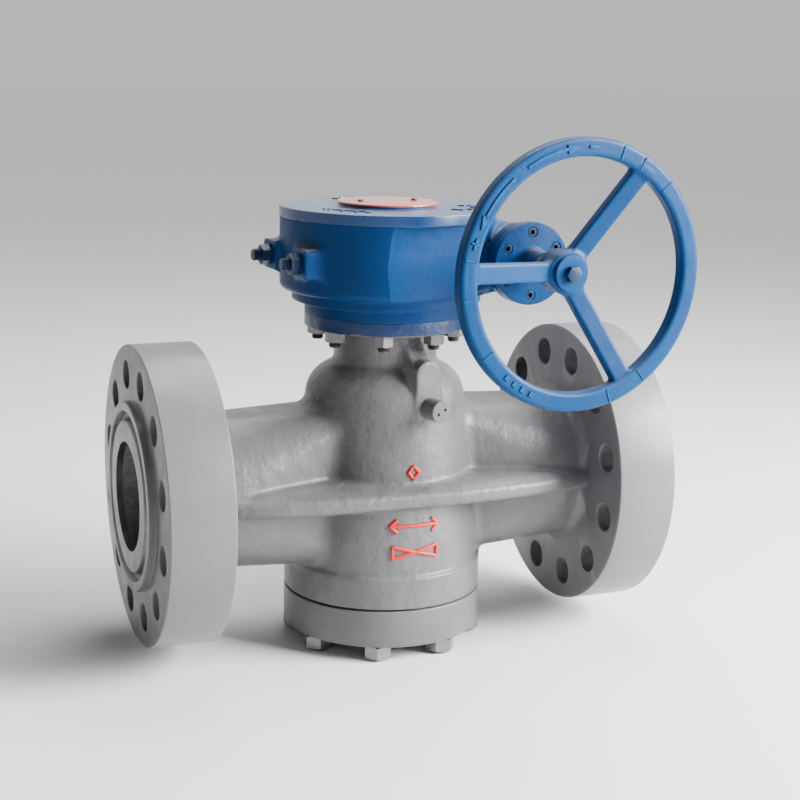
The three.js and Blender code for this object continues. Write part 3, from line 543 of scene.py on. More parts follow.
def raised_mark(name, strokes, height, thickness):
    """Round-topped strokes half sunk in the chamber wall; a point is (across, up) from the mark's middle."""
    curve = bpy.data.curves.new(name, "CURVE")
    curve.dimensions, curve.bevel_depth, curve.bevel_resolution = "3D", thickness, 3
    curve.use_fill_caps = True
    for stroke in strokes:
        fine = []
        for (x0, z0), (x1, z1) in zip(stroke, stroke[1:]):
            pieces = max(1, round(math.hypot(x1 - x0, z1 - z0) / 0.003))
            fine.extend((x0 + (x1 - x0) * k / pieces, z0 + (z1 - z0) * k / pieces) for k in range(pieces))
        fine.append(stroke[-1])
        line = curve.splines.new("POLY")
        line.points.add(len(fine) - 1)
        for point, (across, up) in zip(line.points, fine):
            level = height + up
            radius = np.interp(level, chamber_levels, chamber_radii)
            angle = mark_turn + across / radius
            radius += 0.0004
            point.co = (radius * math.sin(angle), -radius * math.cos(angle), bore_z + level, 1)
    mark = bpy.data.objects.new(name, curve)
    bpy.context.scene.collection.objects.link(mark)
    return mark


diamond = [(0, 0.0085), (0.0075, 0), (0, -0.0085), (-0.0075, 0), (0, 0.0085)]
arrow = [[(-0.033, 0), (0.033, 0)], [(-0.024, 0.0085), (-0.034, 0), (-0.024, -0.0085)],
         [(0.024, 0.0085), (0.034, 0), (0.024, -0.0085)]]
bow_tie = [[(-0.031, -0.008), (0.031, 0.008), (0.031, -0.008), (-0.031, 0.008), (-0.031, -0.008)]]
red = red_finish()
for label, strokes, height in (("web_mark", [diamond], 0.034), ("flow_mark", arrow, -0.036),
                               ("valve_mark", bow_tie, -0.071)):
    mark = raised_mark(label, strokes, height, 0.0025)
    fitted(mark, "valve", "indicator_plate", red)

# ---------------------------------------------------------------------------------------------
# Plug: a tapered steel cone, large end down, with a tall port through it. It turns on a film of
# sealant, so its flanks are lapped bright and grooved.
# ---------------------------------------------------------------------------------------------
plug_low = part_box("plug")[0]


def steel(name, colour, dull, roughness, brushed=(1, 1, 1), metallic=1.0, stain=(0.10, 0.07, 0.045),
          rust=0.12):
    """Machined steel: fine tool marks, uneven sheen and a few stains."""
    material, tree, shader = finish_of(name)
    tone = blend_of(tree, mottle(tree, 18, 0, 1, 5), colour, dull)
    tone = blend_of(tree, mottle(tree, 70, -0.5, rust, 6), tone, stain)
    tree.links.new(tone, shader.inputs["Base Color"])
    shader.inputs["Metallic"].default_value = metallic
    tree.links.new(mottle(tree, 45, roughness - 0.07, roughness + 0.13, 5), shader.inputs["Roughness"])
    normal = relief(tree, (mottle(tree, 420, 0, 1, 3, stretch=brushed), 0.22, 0.0006),
                    (mottle(tree, 70, 0, 1, 3), 0.12, 0.001))
    tree.links.new(normal, shader.inputs["Normal"])
    return material


lapped_steel = steel("lapped_steel", (0.42, 0.43, 0.45), (0.30, 0.31, 0.33), 0.30, (1, 1, 8))
machined_steel = steel("machined_steel", (0.46, 0.47, 0.49), (0.34, 0.35, 0.37), 0.34, (1, 1, 6))
plug_foot, plug_top = -0.1346, 0.122
cone = turned("plug_cone", eased([(0, plug_low.z - bore_z), (taper_r(plug_foot), plug_foot),
                                  (taper_r(plug_top), plug_top), (0, plug_top)], 0.0015), on_axis)


def block(low, high, place=None, ease=0.0):
    """Cutter or bar with square corners, its edges eased if asked."""
    low, high = Vector(low), Vector(high)
    build = bmesh.new()
    bmesh.ops.create_cube(build, size=1)
    for vertex in build.verts:
        vertex.co = Vector((low[k] + (vertex.co[k] + 0.5) * (high[k] - low[k]) for k in range(3)))
    if ease:
        bmesh.ops.bevel(build, geom=build.edges[:], offset=ease, segments=3, profile=0.5, affect="EDGES")
    points = [vertex.co.copy() for vertex in build.verts]
    faces = [[vertex.index for vertex in face.verts] for face in build.faces]
    build.free()
    return shape("block", points, faces, place)


port = skinned("cutter", [oval_ring(x, port_half_y, port_half_z, 0.45, 48) for x in (-0.12, 0.12)])
pocket = rod(0.0385, 0.108, 0.13, on_axis, 64)
drive_slot = block((-0.009, -0.03, 0.098), (0.009, 0.03, 0.110), on_axis)
balance = rod(0.004, -0.136, -0.07, on_axis, 24)
grooves = [rod(0.0035, -0.085, 0.085, place @ Matrix.Rotation(-taper, 4, "Y"), 16)
           for place in around(4, 45, 0.0875, on_axis)]
cone = worked(cone, [port, pocket, drive_slot, balance, *grooves])
fitted(cone, "plug_train", "machined_steel", lapped_steel, "plug")

# ---------------------------------------------------------------------------------------------
# Bottom closure: a forged cover on a spiral-wound gasket, held by eight studs, and the screw that
# sets the plug's height through a ball and a thrust plate, under its own cap.
# ---------------------------------------------------------------------------------------------
cover_low, cover_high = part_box("bottom_cover")
cover_r = (cover_high.x - cover_low.x) / 2
low_z = cover_low.z - bore_z
cover = turned("bottom_cover_forging",
               eased([(0.0142, low_z), (0.105, low_z), (cover_r, low_z), (cover_r, -0.151), (0.1105, -0.151),
                      (0.1105, -0.1535), (0.098, -0.1535), (0.098, -0.151), (0.095, -0.151), (0.095, -0.141),
                      (0.0142, -0.141), (0.0142, low_z)], 0.0022), on_axis, 128)
cover = worked(cover, [drill(0.0115, -0.201, -0.151, 0.0006, place, 24)
                       for place in around(8, first_stud, cover_circle_r, on_axis)])
fitted(cover, "valve", "body_paint", grey_paint, "bottom_cover")


def winding_finish():
    """Spiral-wound filler: thin dark turns with a metallic glint."""
    material, tree, shader = finish_of("spiral_winding")
    tone = blend_of(tree, mottle(tree, 240, 0, 1, 4), (0.035, 0.035, 0.037), (0.11, 0.11, 0.115))
    tree.links.new(tone, shader.inputs["Base Color"])
    tree.links.new(mottle(tree, 90, 0.45, 0.75), shader.inputs["Roughness"])
    tree.links.new(relief(tree, (mottle(tree, 600, 0, 1, 2), 0.5, 0.0004)), shader.inputs["Normal"])
    return material


filler = winding_finish()
winding = [(0.0975, -0.1507)]
for k in range(5):
    winding += [(0.0975 + 0.0014 * (k + 0.25), -0.1507 + 0.0002), (0.0975 + 0.0014 * (k + 0.75), -0.1507)]
winding += [(0.1045, -0.1507), (0.1045, -0.1483), (0.0975, -0.1483), (0.0975, -0.1507)]
fitted(turned("wound_gasket", winding, on_axis, 128), "valve", "graphite", filler, "cover_gasket")

plated = steel("zinc_plate", (0.25, 0.255, 0.25), (0.16, 0.165, 0.16), 0.38, (1, 1, 1), 0.75)
dark_thread = steel("oiled_thread", (0.13, 0.125, 0.12), (0.07, 0.065, 0.06), 0.42, (1, 1, 4), 0.8)


def threaded(radius, low, high, pitch, plain_low=None, plain_high=None):
    """Outline of a stud with rolled thread rings outside its plain shank, and chamfered ends."""
    plain_low = high if plain_low is None else plain_low
    plain_high = high if plain_high is None else plain_high
    core = radius - 0.61 * pitch
    outline = [(0, low), (core, low)]
    level = low + pitch * 0.6
    while level < high - pitch * 1.1:
        if plain_low <= level <= plain_high:
            outline += [(radius, plain_low), (radius, plain_high)]
            level = plain_high + pitch
            continue
        outline += [(core, level), (radius, level + pitch * 0.42), (radius, level + pitch * 0.58)]
        level += pitch
    return [*outline, (core, level), (core, high), (0, high)]


def hexagon_rings(corner, low, high):
    """The six corners at each of two heights."""
    return [[(corner * math.cos(math.pi / 3 * k), corner * math.sin(math.pi / 3 * k), z) for k in range(6)]
            for z in (low, high)]


def hexagon(across_flats, low, high, bore, place=None):
    """Hexagon nut or head with both faces chamfered round its corners."""
    corner = across_flats / math.sqrt(3)
    drop = (corner - across_flats / 2) * 0.62
    prism = skinned("hexagon", hexagon_rings(corner, low, high))
    inner = across_flats / 2 - 0.0004
    dome = turned("cutter", [(0, low), (inner, low), (corner + 0.0004, low + drop),
                             (corner + 0.0004, high - drop), (inner, high), (0, high)], None, 64)
    prism = worked(prism, [dome], "INTERSECT")
    if bore:
        prism = worked(prism, [drill(bore, low, high, 0.0008, None, 32)])
    if place is not None:
        prism.data.transform(place)
    return prism


def united(name, pieces, finishes):
    """Pieces that stay separate solids but are carried as one, each with its own finish."""
    build = bmesh.new()
    for k, piece in enumerate(pieces):
        start = len(build.faces)
        build.from_mesh(piece.data)
        build.faces.ensure_lookup_table()
        for face in build.faces[start:]:
            face.material_index = k
    mesh = bpy.data.meshes.new(name)
    build.to_mesh(mesh)
    build.free()
    mesh.set_sharp_from_angle(angle=sharp_angle)
    for finish in finishes:
        mesh.materials.append(finish)
    for piece in pieces:
        bpy.data.objects.remove(piece)
    return mesh


def set_of(name, mesh, places, body):
    """Like pieces that share a mesh, one for each place, each standing for its own numbered node."""
    for k, place in enumerate(places, 1):
        piece = bpy.data.objects.new(f"{name}_with_nut_{k}", mesh)
        bpy.context.scene.collection.objects.link(piece)
        piece.matrix_world = place
        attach(piece, body)
        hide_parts(f"{name}_{k}")


tip_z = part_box("cover_stud_1")[0].z - bore_z
cover_stud = turned("stud", threaded(0.011, tip_z, -0.114, 0.0025, -0.200, -0.150), None, 40)
cover_nut = hexagon(0.034, -0.2193, -0.2013, 0.0112)
set_of("cover_stud", united("cover_stud_with_nut", [cover_stud, cover_nut], [dark_thread, plated]),
       around(8, first_stud, cover_circle_r, on_axis), "valve")

screw = turned("screw", threaded(0.0137, -0.2105, -0.1552, 0.003), on_axis, 48)
square = hexagon(0.016, -0.216, -0.208, 0, on_axis)
adjuster = bpy.data.objects.new("plug_adjusting_screw", united("plug_adjusting_screw", [screw, square],
                                                               [machined_steel, machined_steel]))
bpy.context.scene.collection.objects.link(adjuster)
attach(adjuster, "valve")
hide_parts("adjusting_screw")
cap_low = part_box("adjusting_screw_cap")[0].z - bore_z
cap = turned("adjusting_screw_cap_turning",
             eased([(0, cap_low), (0.030, cap_low), (0.030, -0.2013), (0.018, -0.2013), (0.018, -0.2175),
                    (0, -0.2175)], 0.0012), on_axis)
flutes = [rod(0.004, -0.219, -0.203, place, 20) for place in around(8, 0, 0.0325, on_axis)]
fitted(worked(cap, flutes), "valve", "body_paint", grey_paint, "adjusting_screw_cap")
ball_low, ball_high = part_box("thrust_ball")
ball_r = (ball_high.z - ball_low.z) / 2
half_circle = [(ball_r * math.sin(a), ball_low.z + ball_r - bore_z - ball_r * math.cos(a))
               for a in np.linspace(0, math.pi, 17)]
half_circle[0], half_circle[-1] = (0, half_circle[0][1]), (0, half_circle[-1][1])
thrust_ball = turned("hardened_thrust_ball", half_circle, on_axis, 32)
fitted(thrust_ball, "valve", "machined_steel", lapped_steel, "thrust_ball")
thrust_disc = turned("thrust_disc", eased([(0, -0.1402), (0.040, -0.1402), (0.060, -0.138), (0.060, -0.135),
                                           (0, -0.135)], 0.0006), on_axis)
fitted(thrust_disc, "valve", "machined_steel", machined_steel, "thrust_plate")

# ---------------------------------------------------------------------------------------------
# Stem line: the stem with its collar and drive tongue, the floating ring that joins it to the plug,
# a bronze thrust washer, a packing of chevron rings and the gland that presses them.
# ---------------------------------------------------------------------------------------------
bronze = steel("cast_bronze", (0.52, 0.33, 0.13), (0.36, 0.22, 0.09), 0.38, (1, 1, 5), 1.0,
               (0.12, 0.10, 0.05), 0.2)
stem = turned("stem_turning", eased([(0, 0.1345), (0.040, 0.1345), (0.040, 0.150), (0.0295, 0.150),
                                     (0.0295, 0.364), (0, 0.364)], 0.001), on_axis)
stem = worked(stem, [block((-0.028, -0.009, 0.1244), (0.028, 0.009, 0.136), on_axis, 0.001)], "UNION")
worm_hinge = frame["joints"][1]
operator_turn = math.atan2(-worm_hinge["axis"][0], worm_hinge["axis"][1])
operator_place = on_axis @ Matrix.Rotation(operator_turn, 4, "Z")
stem = worked(stem, [block((0.022, -0.0073, 0.2617), (0.040, 0.0073, 0.3453), operator_place)])
fitted(stem, "plug_train", "machined_steel", machined_steel, "stem")
ring_disc = turned("floating_ring", eased([(0, 0.1084), (0.038, 0.1084), (0.038, 0.134), (0, 0.134)],
                                          0.001), on_axis)
ring_disc = worked(ring_disc, [block((-0.045, -0.0093, 0.124), (0.045, 0.0093, 0.14), on_axis)])
ring_tongue = block((-0.0087, -0.028, 0.0985), (0.0087, 0.028, 0.110), on_axis, 0.0008)
ring_disc = worked(ring_disc, [ring_tongue], "UNION")
fitted(ring_disc, "plug_train", "machined_steel", machined_steel, "equalizer_ring")
fitted(turned("stem_washer", eased([(0.0301, 0.1503), (0.040, 0.1503), (0.040, 0.1557), (0.0301, 0.1557),
                                    (0.0301, 0.1503)], 0.0006), on_axis),
       "valve", "bronze", bronze, "stem_thrust_washer")
chevrons = [(0.0301, 0.190), (0.0415, 0.190)]
for k in range(4):
    chevrons += [(0.0415, 0.1957 + 0.0065 * k), (0.0409, 0.1961 + 0.0065 * k), (0.0415, 0.1965 + 0.0065 * k)]
chevrons = [*chevrons[:-1], (0.0415, 0.216), (0.0301, 0.216), (0.0301, 0.190)]
fitted(turned("packing_rings", chevrons, on_axis), "valve", "graphite", filler, "stem_packing")
fitted(turned("gland_ring", eased([(0.0301, 0.2163), (0.0415, 0.2163), (0.0415, 0.2295), (0.0301, 0.2295),
                                   (0.0301, 0.2163)], 0.0008), on_axis),
       "valve", "plated_steel", plated, "packing_gland")

# ---------------------------------------------------------------------------------------------
# Sealant fitting: a round head screwed into the boss, with two holes for a pin spanner, and a
# small check valve behind it that holds the sealant in.
# ---------------------------------------------------------------------------------------------
head_end = 0.137
head = turned("sealant_injector",
              eased([(0, 0.096), (0.009, 0.096), (0.009, boss_face + 0.0003), (0.0112, boss_face + 0.0003),
                     (0.0112, boss_face + 0.0028), (0.0148, boss_face + 0.0036), (0.0148, head_end),
                     (0, head_end)], 0.0011), out_of_boss, 64)
pin_turn = Matrix.Rotation(math.radians(28), 4, "Z")
pins = [rod(0.0021, head_end - 0.010, head_end + 0.002, place, 24)
        for place in around(2, 180, 0.0058, out_of_boss @ pin_turn)]
fitted(worked(head, pins), "valve", "body_paint", grey_paint, "sealant_fitting")
fitted(turned("sealant_check", eased([(0, 0.087), (0.005, 0.087), (0.005, 0.0957), (0, 0.0957)], 0.0008),
              out_of_boss, 32), "valve", "machined_steel", machined_steel, "sealant_check_valve")

# ---------------------------------------------------------------------------------------------
# Gear housing: an iron casting bolted on the stem flange by eight studs. The worm barrel stands at
# one side of the drum, and two bosses opposite it carry the stop screws.
# ---------------------------------------------------------------------------------------------
worm_x = Vector(worm_hinge["pos_m"][:2]).length
worm_z = worm_hinge["pos_m"][2]
house_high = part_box("gearbox_housing")[1].z
lid_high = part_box("gearbox_cover")[1].z
turn_only = Matrix.Rotation(operator_turn, 4, "Z")
stop_y, stop_z, stop_face = 0.052, bore_z + 0.305, 0.148
drum_r, drum_low, collar_r, collar_low = 0.1435, 0.2618, 0.127, 0.2466
barrel_r, barrel_end, worm_bore_r, end_cap_r, screw_circle_r = 0.044, 0.1305, 0.034, 0.054, 0.041


def housing_form(x, y, z):
    r = np.hypot(x, y)
    up = z - bore_z
    foot = np.maximum(r - top_flange_r, top_flange_high - 0.001 - up)
    collar = soft_cut(r - collar_r, collar_low - up, 0.003)
    drum = soft_cut(r - drum_r, drum_low - up + np.maximum(r - 0.139, 0) * 0.6, 0.006)
    form = soft_join(soft_join(foot, collar, 0.004), drum, 0.004)
    out = np.hypot(x - worm_x, z - worm_z)
    long = np.abs(y)
    barrel = np.maximum(out - barrel_r, long - barrel_end + 0.002)
    web = np.maximum(np.abs(up - 0.309) - 0.040, long - 0.082)
    web = soft_cut(web, np.maximum(x - worm_x, -x), 0.004)
    form = soft_join(soft_join(form, web, 0.016), barrel, 0.014)
    collars = soft_cut(out - end_cap_r, np.maximum(long - barrel_end, 0.1155 - long), 0.003)
    form = soft_join(form, collars, 0.008)
    boss = soft_cut(np.abs(long - stop_y) - 0.0235, np.abs(z - stop_z) - 0.0195, 0.007)
    boss = np.maximum(soft_cut(boss, -x - stop_face, 0.003), x)
    form = soft_join(form, boss, 0.009)
    return np.maximum(form, z - house_high)


housing = cast("gear_housing_casting", housing_form, (-0.156, -0.152, bore_z + 0.225),
               (0.202, 0.152, house_high + 0.006), 0.0024)
across_barrel = Matrix.Translation((worm_x, 0, worm_z)) @ Matrix.Rotation(math.pi / 2, 4, "X")
top_trim = rod(0.3, 0.3571, 0.37, on_axis, 32)
floor_trim = rod(0.3, 0.22, top_flange_high + 0.00005, on_axis, 32)
hollow = turned("cutter", [(0, 0.22), (0.0563, 0.22), (0.0563, 0.266), (0.125, 0.266), (0.125, 0.36),
                           (0, 0.36)], on_axis)
worm_bore = rod(worm_bore_r, -0.14, 0.14, across_barrel, 64)
ends_trim, stop_holes = [], []
for side in (-1, 1):
    end, past = side * barrel_end, side * 0.15
    ends_trim.append(rod(0.2, end, past, across_barrel, 32))
    stop_place = Matrix.Translation((0, side * stop_y, stop_z)) @ Matrix.Rotation(math.pi / 2, 4, "Y")
    stop_holes.append(rod(0.0083, -0.2, -0.1, stop_place, 32))
stud_seats = [rod(0.0083, 0.22, 0.245, place, 24)
              for place in around(8, first_stud - math.degrees(operator_turn), mounting_circle_r, on_axis)]
screw_seats = [rod(0.0043, 0.112, 0.14, place, 20) for place in around(6, 90, screw_circle_r, across_barrel)]
housing = worked(housing, [top_trim, floor_trim, hollow, worm_bore, *ends_trim, *stop_holes, *stud_seats,
                           *screw_seats])
housing.data.transform(turn_only)


def operator_enamel():
    """Blue enamel, turned a lighter brown on level ledges below the lid."""
    material, tree, shader, tone = enamel("blue_enamel", blue, blue_deep, blue_worn, 0.36, 0.35, None, 0.35)
    # Level ledges below the lid are blended towards a lighter brown.
    level = ramp(tree, facing_up(tree), 0.8, 0.97)
    below_lid = ramp(tree, coordinates(tree)[2], house_high - 0.012, house_high - 0.016)
    ledge_brown = both(tree, both(tree, level, below_lid), mottle(tree, 60, 0.25, 0.95, 5))
    tone = blend_of(tree, ledge_brown, tone, (0.23, 0.17, 0.13))
    tree.links.new(tone, shader.inputs["Base Color"])
    return material


blue_paint = operator_enamel()
fitted(housing, "valve", "operator_paint", blue_paint, "gearbox_housing")

stud_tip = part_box("mounting_stud_1")[0].z - bore_z
mount_stud = turned("stud", threaded(0.008, stud_tip, 0.244, 0.002, 0.213, 0.229), None, 32)
mount_nut = hexagon(0.024, 0.1972, 0.2117, 0.0082)
set_of("mounting_stud", united("mounting_stud_with_nut", [mount_stud, mount_nut], [dark_thread, plated]),
       around(8, first_stud, mounting_circle_r, on_axis), "valve")

# ---------------------------------------------------------------------------------------------
# Gear train: a bronze worm wheel keyed to the stem between two bushes, and the steel worm that
# drives it, in two ball bearings. The wheel keeps its cut teeth, with eased edges.
# ---------------------------------------------------------------------------------------------
nodes = frame["nodes"]
ease = nodes["worm_wheel"].modifiers.new("eased_edges", "BEVEL")
ease.width, ease.segments, ease.limit_method, ease.angle_limit = 0.0004, 2, "ANGLE", math.radians(40)
for name, finish in (("worm_wheel", bronze), ("stem_key", machined_steel)):
    nodes[name].data.materials.clear()
    nodes[name].data.materials.append(finish)
for label, node, low, high in (("lower_bush", "wheel_bush_lower", 0.237, 0.265),
                               ("upper_bush", "wheel_bush_upper", 0.3574, 0.373)):
    wall = [(0.0486, low), (0.056, low), (0.056, high), (0.0486, high), (0.0486, low)]
    fitted(turned(label, eased(wall, 0.0008), on_axis), "valve", "bronze", bronze, node)

worm_line = turn_only @ across_barrel
pitch = math.pi * 0.005


def worm_thread():
    """Right-hand single-start thread of straight trapezoid section, as a solid of its own."""
    half, slope = 0.4 * pitch / 2, math.tan(math.radians(20))
    section = [(-half - 0.0063 * slope, -0.0073), (half + 0.0063 * slope, -0.0073),
               (half - 0.005 * slope, 0.005), (-half + 0.005 * slope, 0.005)]
    turns_made, steps, rings = 4, 4 * 48, []
    for k in range(steps + 1):
        turn = turns_made * k / steps - turns_made / 2
        angle = 2 * math.pi * turn
        ring = []
        for along, up in section:
            radius, advance = 0.026 + up, along + pitch * (turn - 0.25)
            ring.append((radius * math.sin(angle), radius * math.cos(angle), -advance))
        rings.append(ring)
    return skinned("thread", rings, worm_line)


shaft = turned("worm_and_shaft",
               eased([(0, -0.118), (0.015, -0.118), (0.015, -0.100), (0.0197, -0.100), (0.0197, 0.100),
                      (0.015, 0.100), (0.015, 0.118), (0.011, 0.118), (0.011, 0.234), (0, 0.234)],
                     0.0008), worm_line, 48)
shaft = worked(shaft, [worm_thread()], "UNION")
shaft_cuts = [block((-0.0033, 0.0072, 0.2057), (0.0033, 0.014, 0.2303), worm_line),
              rod(0.0063, 0.208, 0.236, worm_line, 24)]
fitted(worked(shaft, shaft_cuts), "handwheel_train", "machined_steel", machined_steel, "worm_shaft")
for label, node, low, high in (("front_ball_bearing", "worm_bearing_front", 0.1005, 0.118),
                               ("rear_ball_bearing", "worm_bearing_rear", -0.118, -0.1005)):
    shield_low, shield_high = low + 0.001, high - 0.001
    race = [(0.0156, low), (0.0205, low), (0.0205, shield_low), (0.028, shield_low), (0.028, low),
            (0.0337, low), (0.0337, high), (0.028, high), (0.028, shield_high), (0.0205, shield_high),
            (0.0205, high), (0.0156, high), (0.0156, low)]
    bearing = turned(label, eased(race, 0.0006), worm_line, 64)
    fitted(bearing, "valve", "machined_steel", lapped_steel, node)

# ---------------------------------------------------------------------------------------------
# Housing cover and position indicator: a flat iron lid with a low boss, cast arc marks for the
# two ends of travel, and a red plate that turns with the stem, held by two screws.
# ---------------------------------------------------------------------------------------------
lid_z = lid_high - bore_z
lid_top = lid_z - 0.0025
lid_low, lid_bore_r = 0.3574, 0.0563
upper_side = eased([(0.1432, lid_low), (0.144, lid_low + 0.0008), (0.144, lid_top), (0.068, lid_top),
                    (0.066, lid_z), (lid_bore_r, lid_z)], 0.0016, 5)
lid = turned("gear_housing_lid", [(lid_bore_r, lid_low), *upper_side, (lid_bore_r, lid_low)], on_axis, 128)


def raised_arc(name, first, last, inner, outer, low, high, place, spacing=2.0, inset=0.0):
    """Flat arc between two angles and two radii, drawn in a little at the top."""
    count = max(1, round(abs(last - first) / spacing))
    points = []
    for z, drawn_in in ((low, 0.0), (high, inset)):
        for radius in (inner + drawn_in, outer - drawn_in):
            for k in range(count + 1):
                angle = math.radians(first + (last - first) * k / count)
                points.append((radius * math.cos(angle), radius * math.sin(angle), z))
    row = count + 1
    faces = [(0, row, 3 * row, 2 * row), (count, 2 * row + count, 3 * row + count, row + count)]
    for k in range(count):
        a, b, c, d = k, row + k, 2 * row + k, 3 * row + k
        faces += [(a, a + 1, b + 1, b), (c, d, d + 1, c + 1), (a, c, c + 1, a + 1), (b, b + 1, d + 1, d)]
    return shape(name, points, faces, place)


mark_low, mark_high, marks = lid_top - 0.0008, lid_top + 0.0014, []
for middle in (215, 325, 90):
    strokes = [(0, 17, 0.101, 0.105, 3.0), (-17, 1.6, 0.094, 0.112, 1.6), (17, 1.6, 0.094, 0.112, 1.6)]
    strokes += [(step, 0.7, 0.110, 0.118, 0.7) for step in (-10, 0, 10)]
    for aside, half, inner, outer, spacing in strokes:
        marks.append(raised_arc("mark", middle + aside - half, middle + aside + half, inner, outer, mark_low,
                                mark_high, operator_place, spacing, 0.0006))
lid = worked(lid, marks, "UNION")
lid_paint, _, lid_shader, _ = enamel("lid_enamel", blue, blue_deep, blue_worn, 0.26, 0.25)
lid_shader.inputs["Coat Weight"].default_value = 0.6
fitted(lid, "valve", "operator_paint", lid_paint, "gearbox_cover")


def sign_finish():
    """Red print on a pale enamelled plate: a rim line and a pointer band across it."""
    material, tree, shader = finish_of("indicator_enamel")
    x, y, _ = coordinates(tree)
    tone = blend_of(tree, mottle(tree, 40, 0, 0.8, 5), (0.62, 0.22, 0.17), (0.50, 0.15, 0.11))
    edge = ramp(tree, out_from(tree, x, y), 0.0615, 0.0620)
    tone = blend_of(tree, both(tree, edge, 0.85), tone, (0.52, 0.07, 0.04))
    band = ramp(tree, reckon(tree, "ABSOLUTE", y, clamp=False), 0.0042, 0.0036, 0.0, 0.9)
    tone = blend_of(tree, band, tone, (0.50, 0.06, 0.035))
    tree.links.new(tone, shader.inputs["Base Color"])
    tree.links.new(mottle(tree, 60, 0.2, 0.34), shader.inputs["Roughness"])
    shader.inputs["Coat Weight"].default_value = 0.6
    tree.links.new(relief(tree, (mottle(tree, 300, 0, 1, 3), 0.12, 0.0006)), shader.inputs["Normal"])
    return material


plate_low, plate_high = (corner.z - bore_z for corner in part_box("position_indicator"))
plate_r = 0.0675
plate = turned("indicator_plate", eased([(0, plate_low), (plate_r, plate_low), (plate_r, plate_high),
                                         (0, plate_high)], 0.0008), on_axis, 96)
screw_places = [operator_place @ Matrix.Translation((x, 0, 0)) for x in (-0.039, 0.039)]
plate = worked(plate, [drill(0.0029, plate_low, plate_high, 0.0, place, 24) for place in screw_places])
fitted(plate, "plug_train", "indicator_plate", sign_finish(), "position_indicator")
rusty = steel("rusted_screw", (0.20, 0.075, 0.04), (0.12, 0.045, 0.025), 0.6, (1, 1, 1), 0.5)
for k, place in enumerate(screw_places, 1):
    seat, top = plate_high + 0.0003, plate_high + 0.0025
    pan = turned(f"indicator_pan_screw_{k}",
                 eased([(0, 0.362), (0.0025, 0.362), (0.0025, seat), (0.0045, seat), (0.0045, top), (0, top)],
                       0.0007), place, 32)
    slot_cut = block((-0.006, -0.0006, top - 0.001), (0.006, 0.0006, top + 0.0015), place)
    fitted(worked(pan, [slot_cut]), "plug_train", "dark_steel", rusty, f"indicator_screw_{k}")

# ---------------------------------------------------------------------------------------------
# Stop screws: two long bolts that the wheel's flats meet at the ends of travel, each locked by a
# nut against its boss and left with a thin coat of the blue overspray.
# ---------------------------------------------------------------------------------------------


def oversprayed():
    """Dark steel under a thin, uneven coat of blue."""
    material, tree, shader = finish_of("oversprayed_steel")
    share = mottle(tree, 130, 0.25, 1.0, 5)
    tone = blend_of(tree, share, (0.016, 0.019, 0.024), (0.0, 0.026, 0.085))
    tree.links.new(tone, shader.inputs["Base Color"])
    shader.inputs["Metallic"].default_value = 0.15
    shader.inputs["Specular IOR Level"].default_value = 0.25
    tree.links.new(mottle(tree, 80, 0.28, 0.48), shader.inputs["Roughness"])
    tree.links.new(relief(tree, (mottle(tree, 350, 0, 1, 3), 0.25, 0.0008)), shader.inputs["Normal"])
    return material


sprayed = oversprayed()
for name, side in (("closed", -1), ("open", 1)):
    stop_line = (turn_only @ Matrix.Translation((0, side * stop_y, stop_z))
                 @ Matrix.Rotation(-math.pi / 2, 4, "Y"))
    stop_bolt = turned(f"stop_screw_{name}", threaded(0.008, 0.0803, 0.172, 0.002), stop_line, 40)
    fitted(stop_bolt, "valve", "dark_steel", sprayed, f"stop_bolt_{name}")
    lock_nut = hexagon(0.024, stop_face + 0.0003, stop_face + 0.0133, 0.0083, stop_line)
    lock_nut.name = f"stop_lock_nut_{name}"
    fitted(lock_nut, "valve", "dark_steel", sprayed, f"stop_nut_{name}")

# ---------------------------------------------------------------------------------------------
# End caps of the worm barrel: turned iron plates with a spigot. The front one has a long sleeve
# with a lip seal round the shaft, and six socket screws in counterbores.
# ---------------------------------------------------------------------------------------------
cap_face = 0.1435
cap_back, spigot_r, spigot_end = barrel_end + 0.0003, 0.0337, 0.122
front = turned("front_barrel_cap",
               eased([(0.0116, spigot_end), (spigot_r, spigot_end), (spigot_r, cap_back),
                      (end_cap_r, cap_back), (end_cap_r, cap_face), (0.0225, cap_face),
                      (0.0195, cap_face + 0.004), (0.0195, 0.178), (0.0163, 0.178), (0.0163, 0.166),
                      (0.0116, 0.166), (0.0116, spigot_end)], 0.0014),
               worm_line, 96)
sink_floor, head_top = cap_face - 0.008, cap_face - 0.0006
sinks = []
for place in around(6, 90, screw_circle_r, worm_line):
    sinks.append(turned("cutter", [(0, 0.12), (0.0043, 0.12), (0.0043, sink_floor), (0.0068, sink_floor),
                                   (0.0068, head_top), (0.0084, cap_face + 0.001), (0, cap_face + 0.001)],
                        place, 32))
fitted(worked(front, sinks), "valve", "operator_paint", blue_paint, "front_end_cap")
rear = turned("rear_barrel_cap",
              eased([(0, -cap_face), (end_cap_r, -cap_face), (end_cap_r, -cap_back), (spigot_r, -cap_back),
                     (spigot_r, -spigot_end), (0, -spigot_end)], 0.0014), worm_line, 96)
fitted(rear, "valve", "operator_paint", blue_paint, "rear_end_cap")
# The screws are numbered the other way round from the places.
for k, order, place in zip(range(1, 7), (1, 6, 5, 4, 3, 2), around(6, 90, screw_circle_r, worm_line)):
    tip, head_low = cap_face - 0.030, sink_floor + 0.0003
    socket_screw = turned(f"socket_screw_{k}",
                          eased([(0, tip), (0.004, tip), (0.004, head_low), (0.0063, head_low),
                                 (0.0063, head_top), (0, head_top)], 0.0006), place, 32)
    key_socket = hexagon_rings(0.0034, cap_face - 0.0050, cap_face + 0.001)
    worked(socket_screw, [skinned("cutter", key_socket, place)])
    fitted(socket_screw, "valve", "dark_steel", sprayed, f"end_cap_screw_{order}")


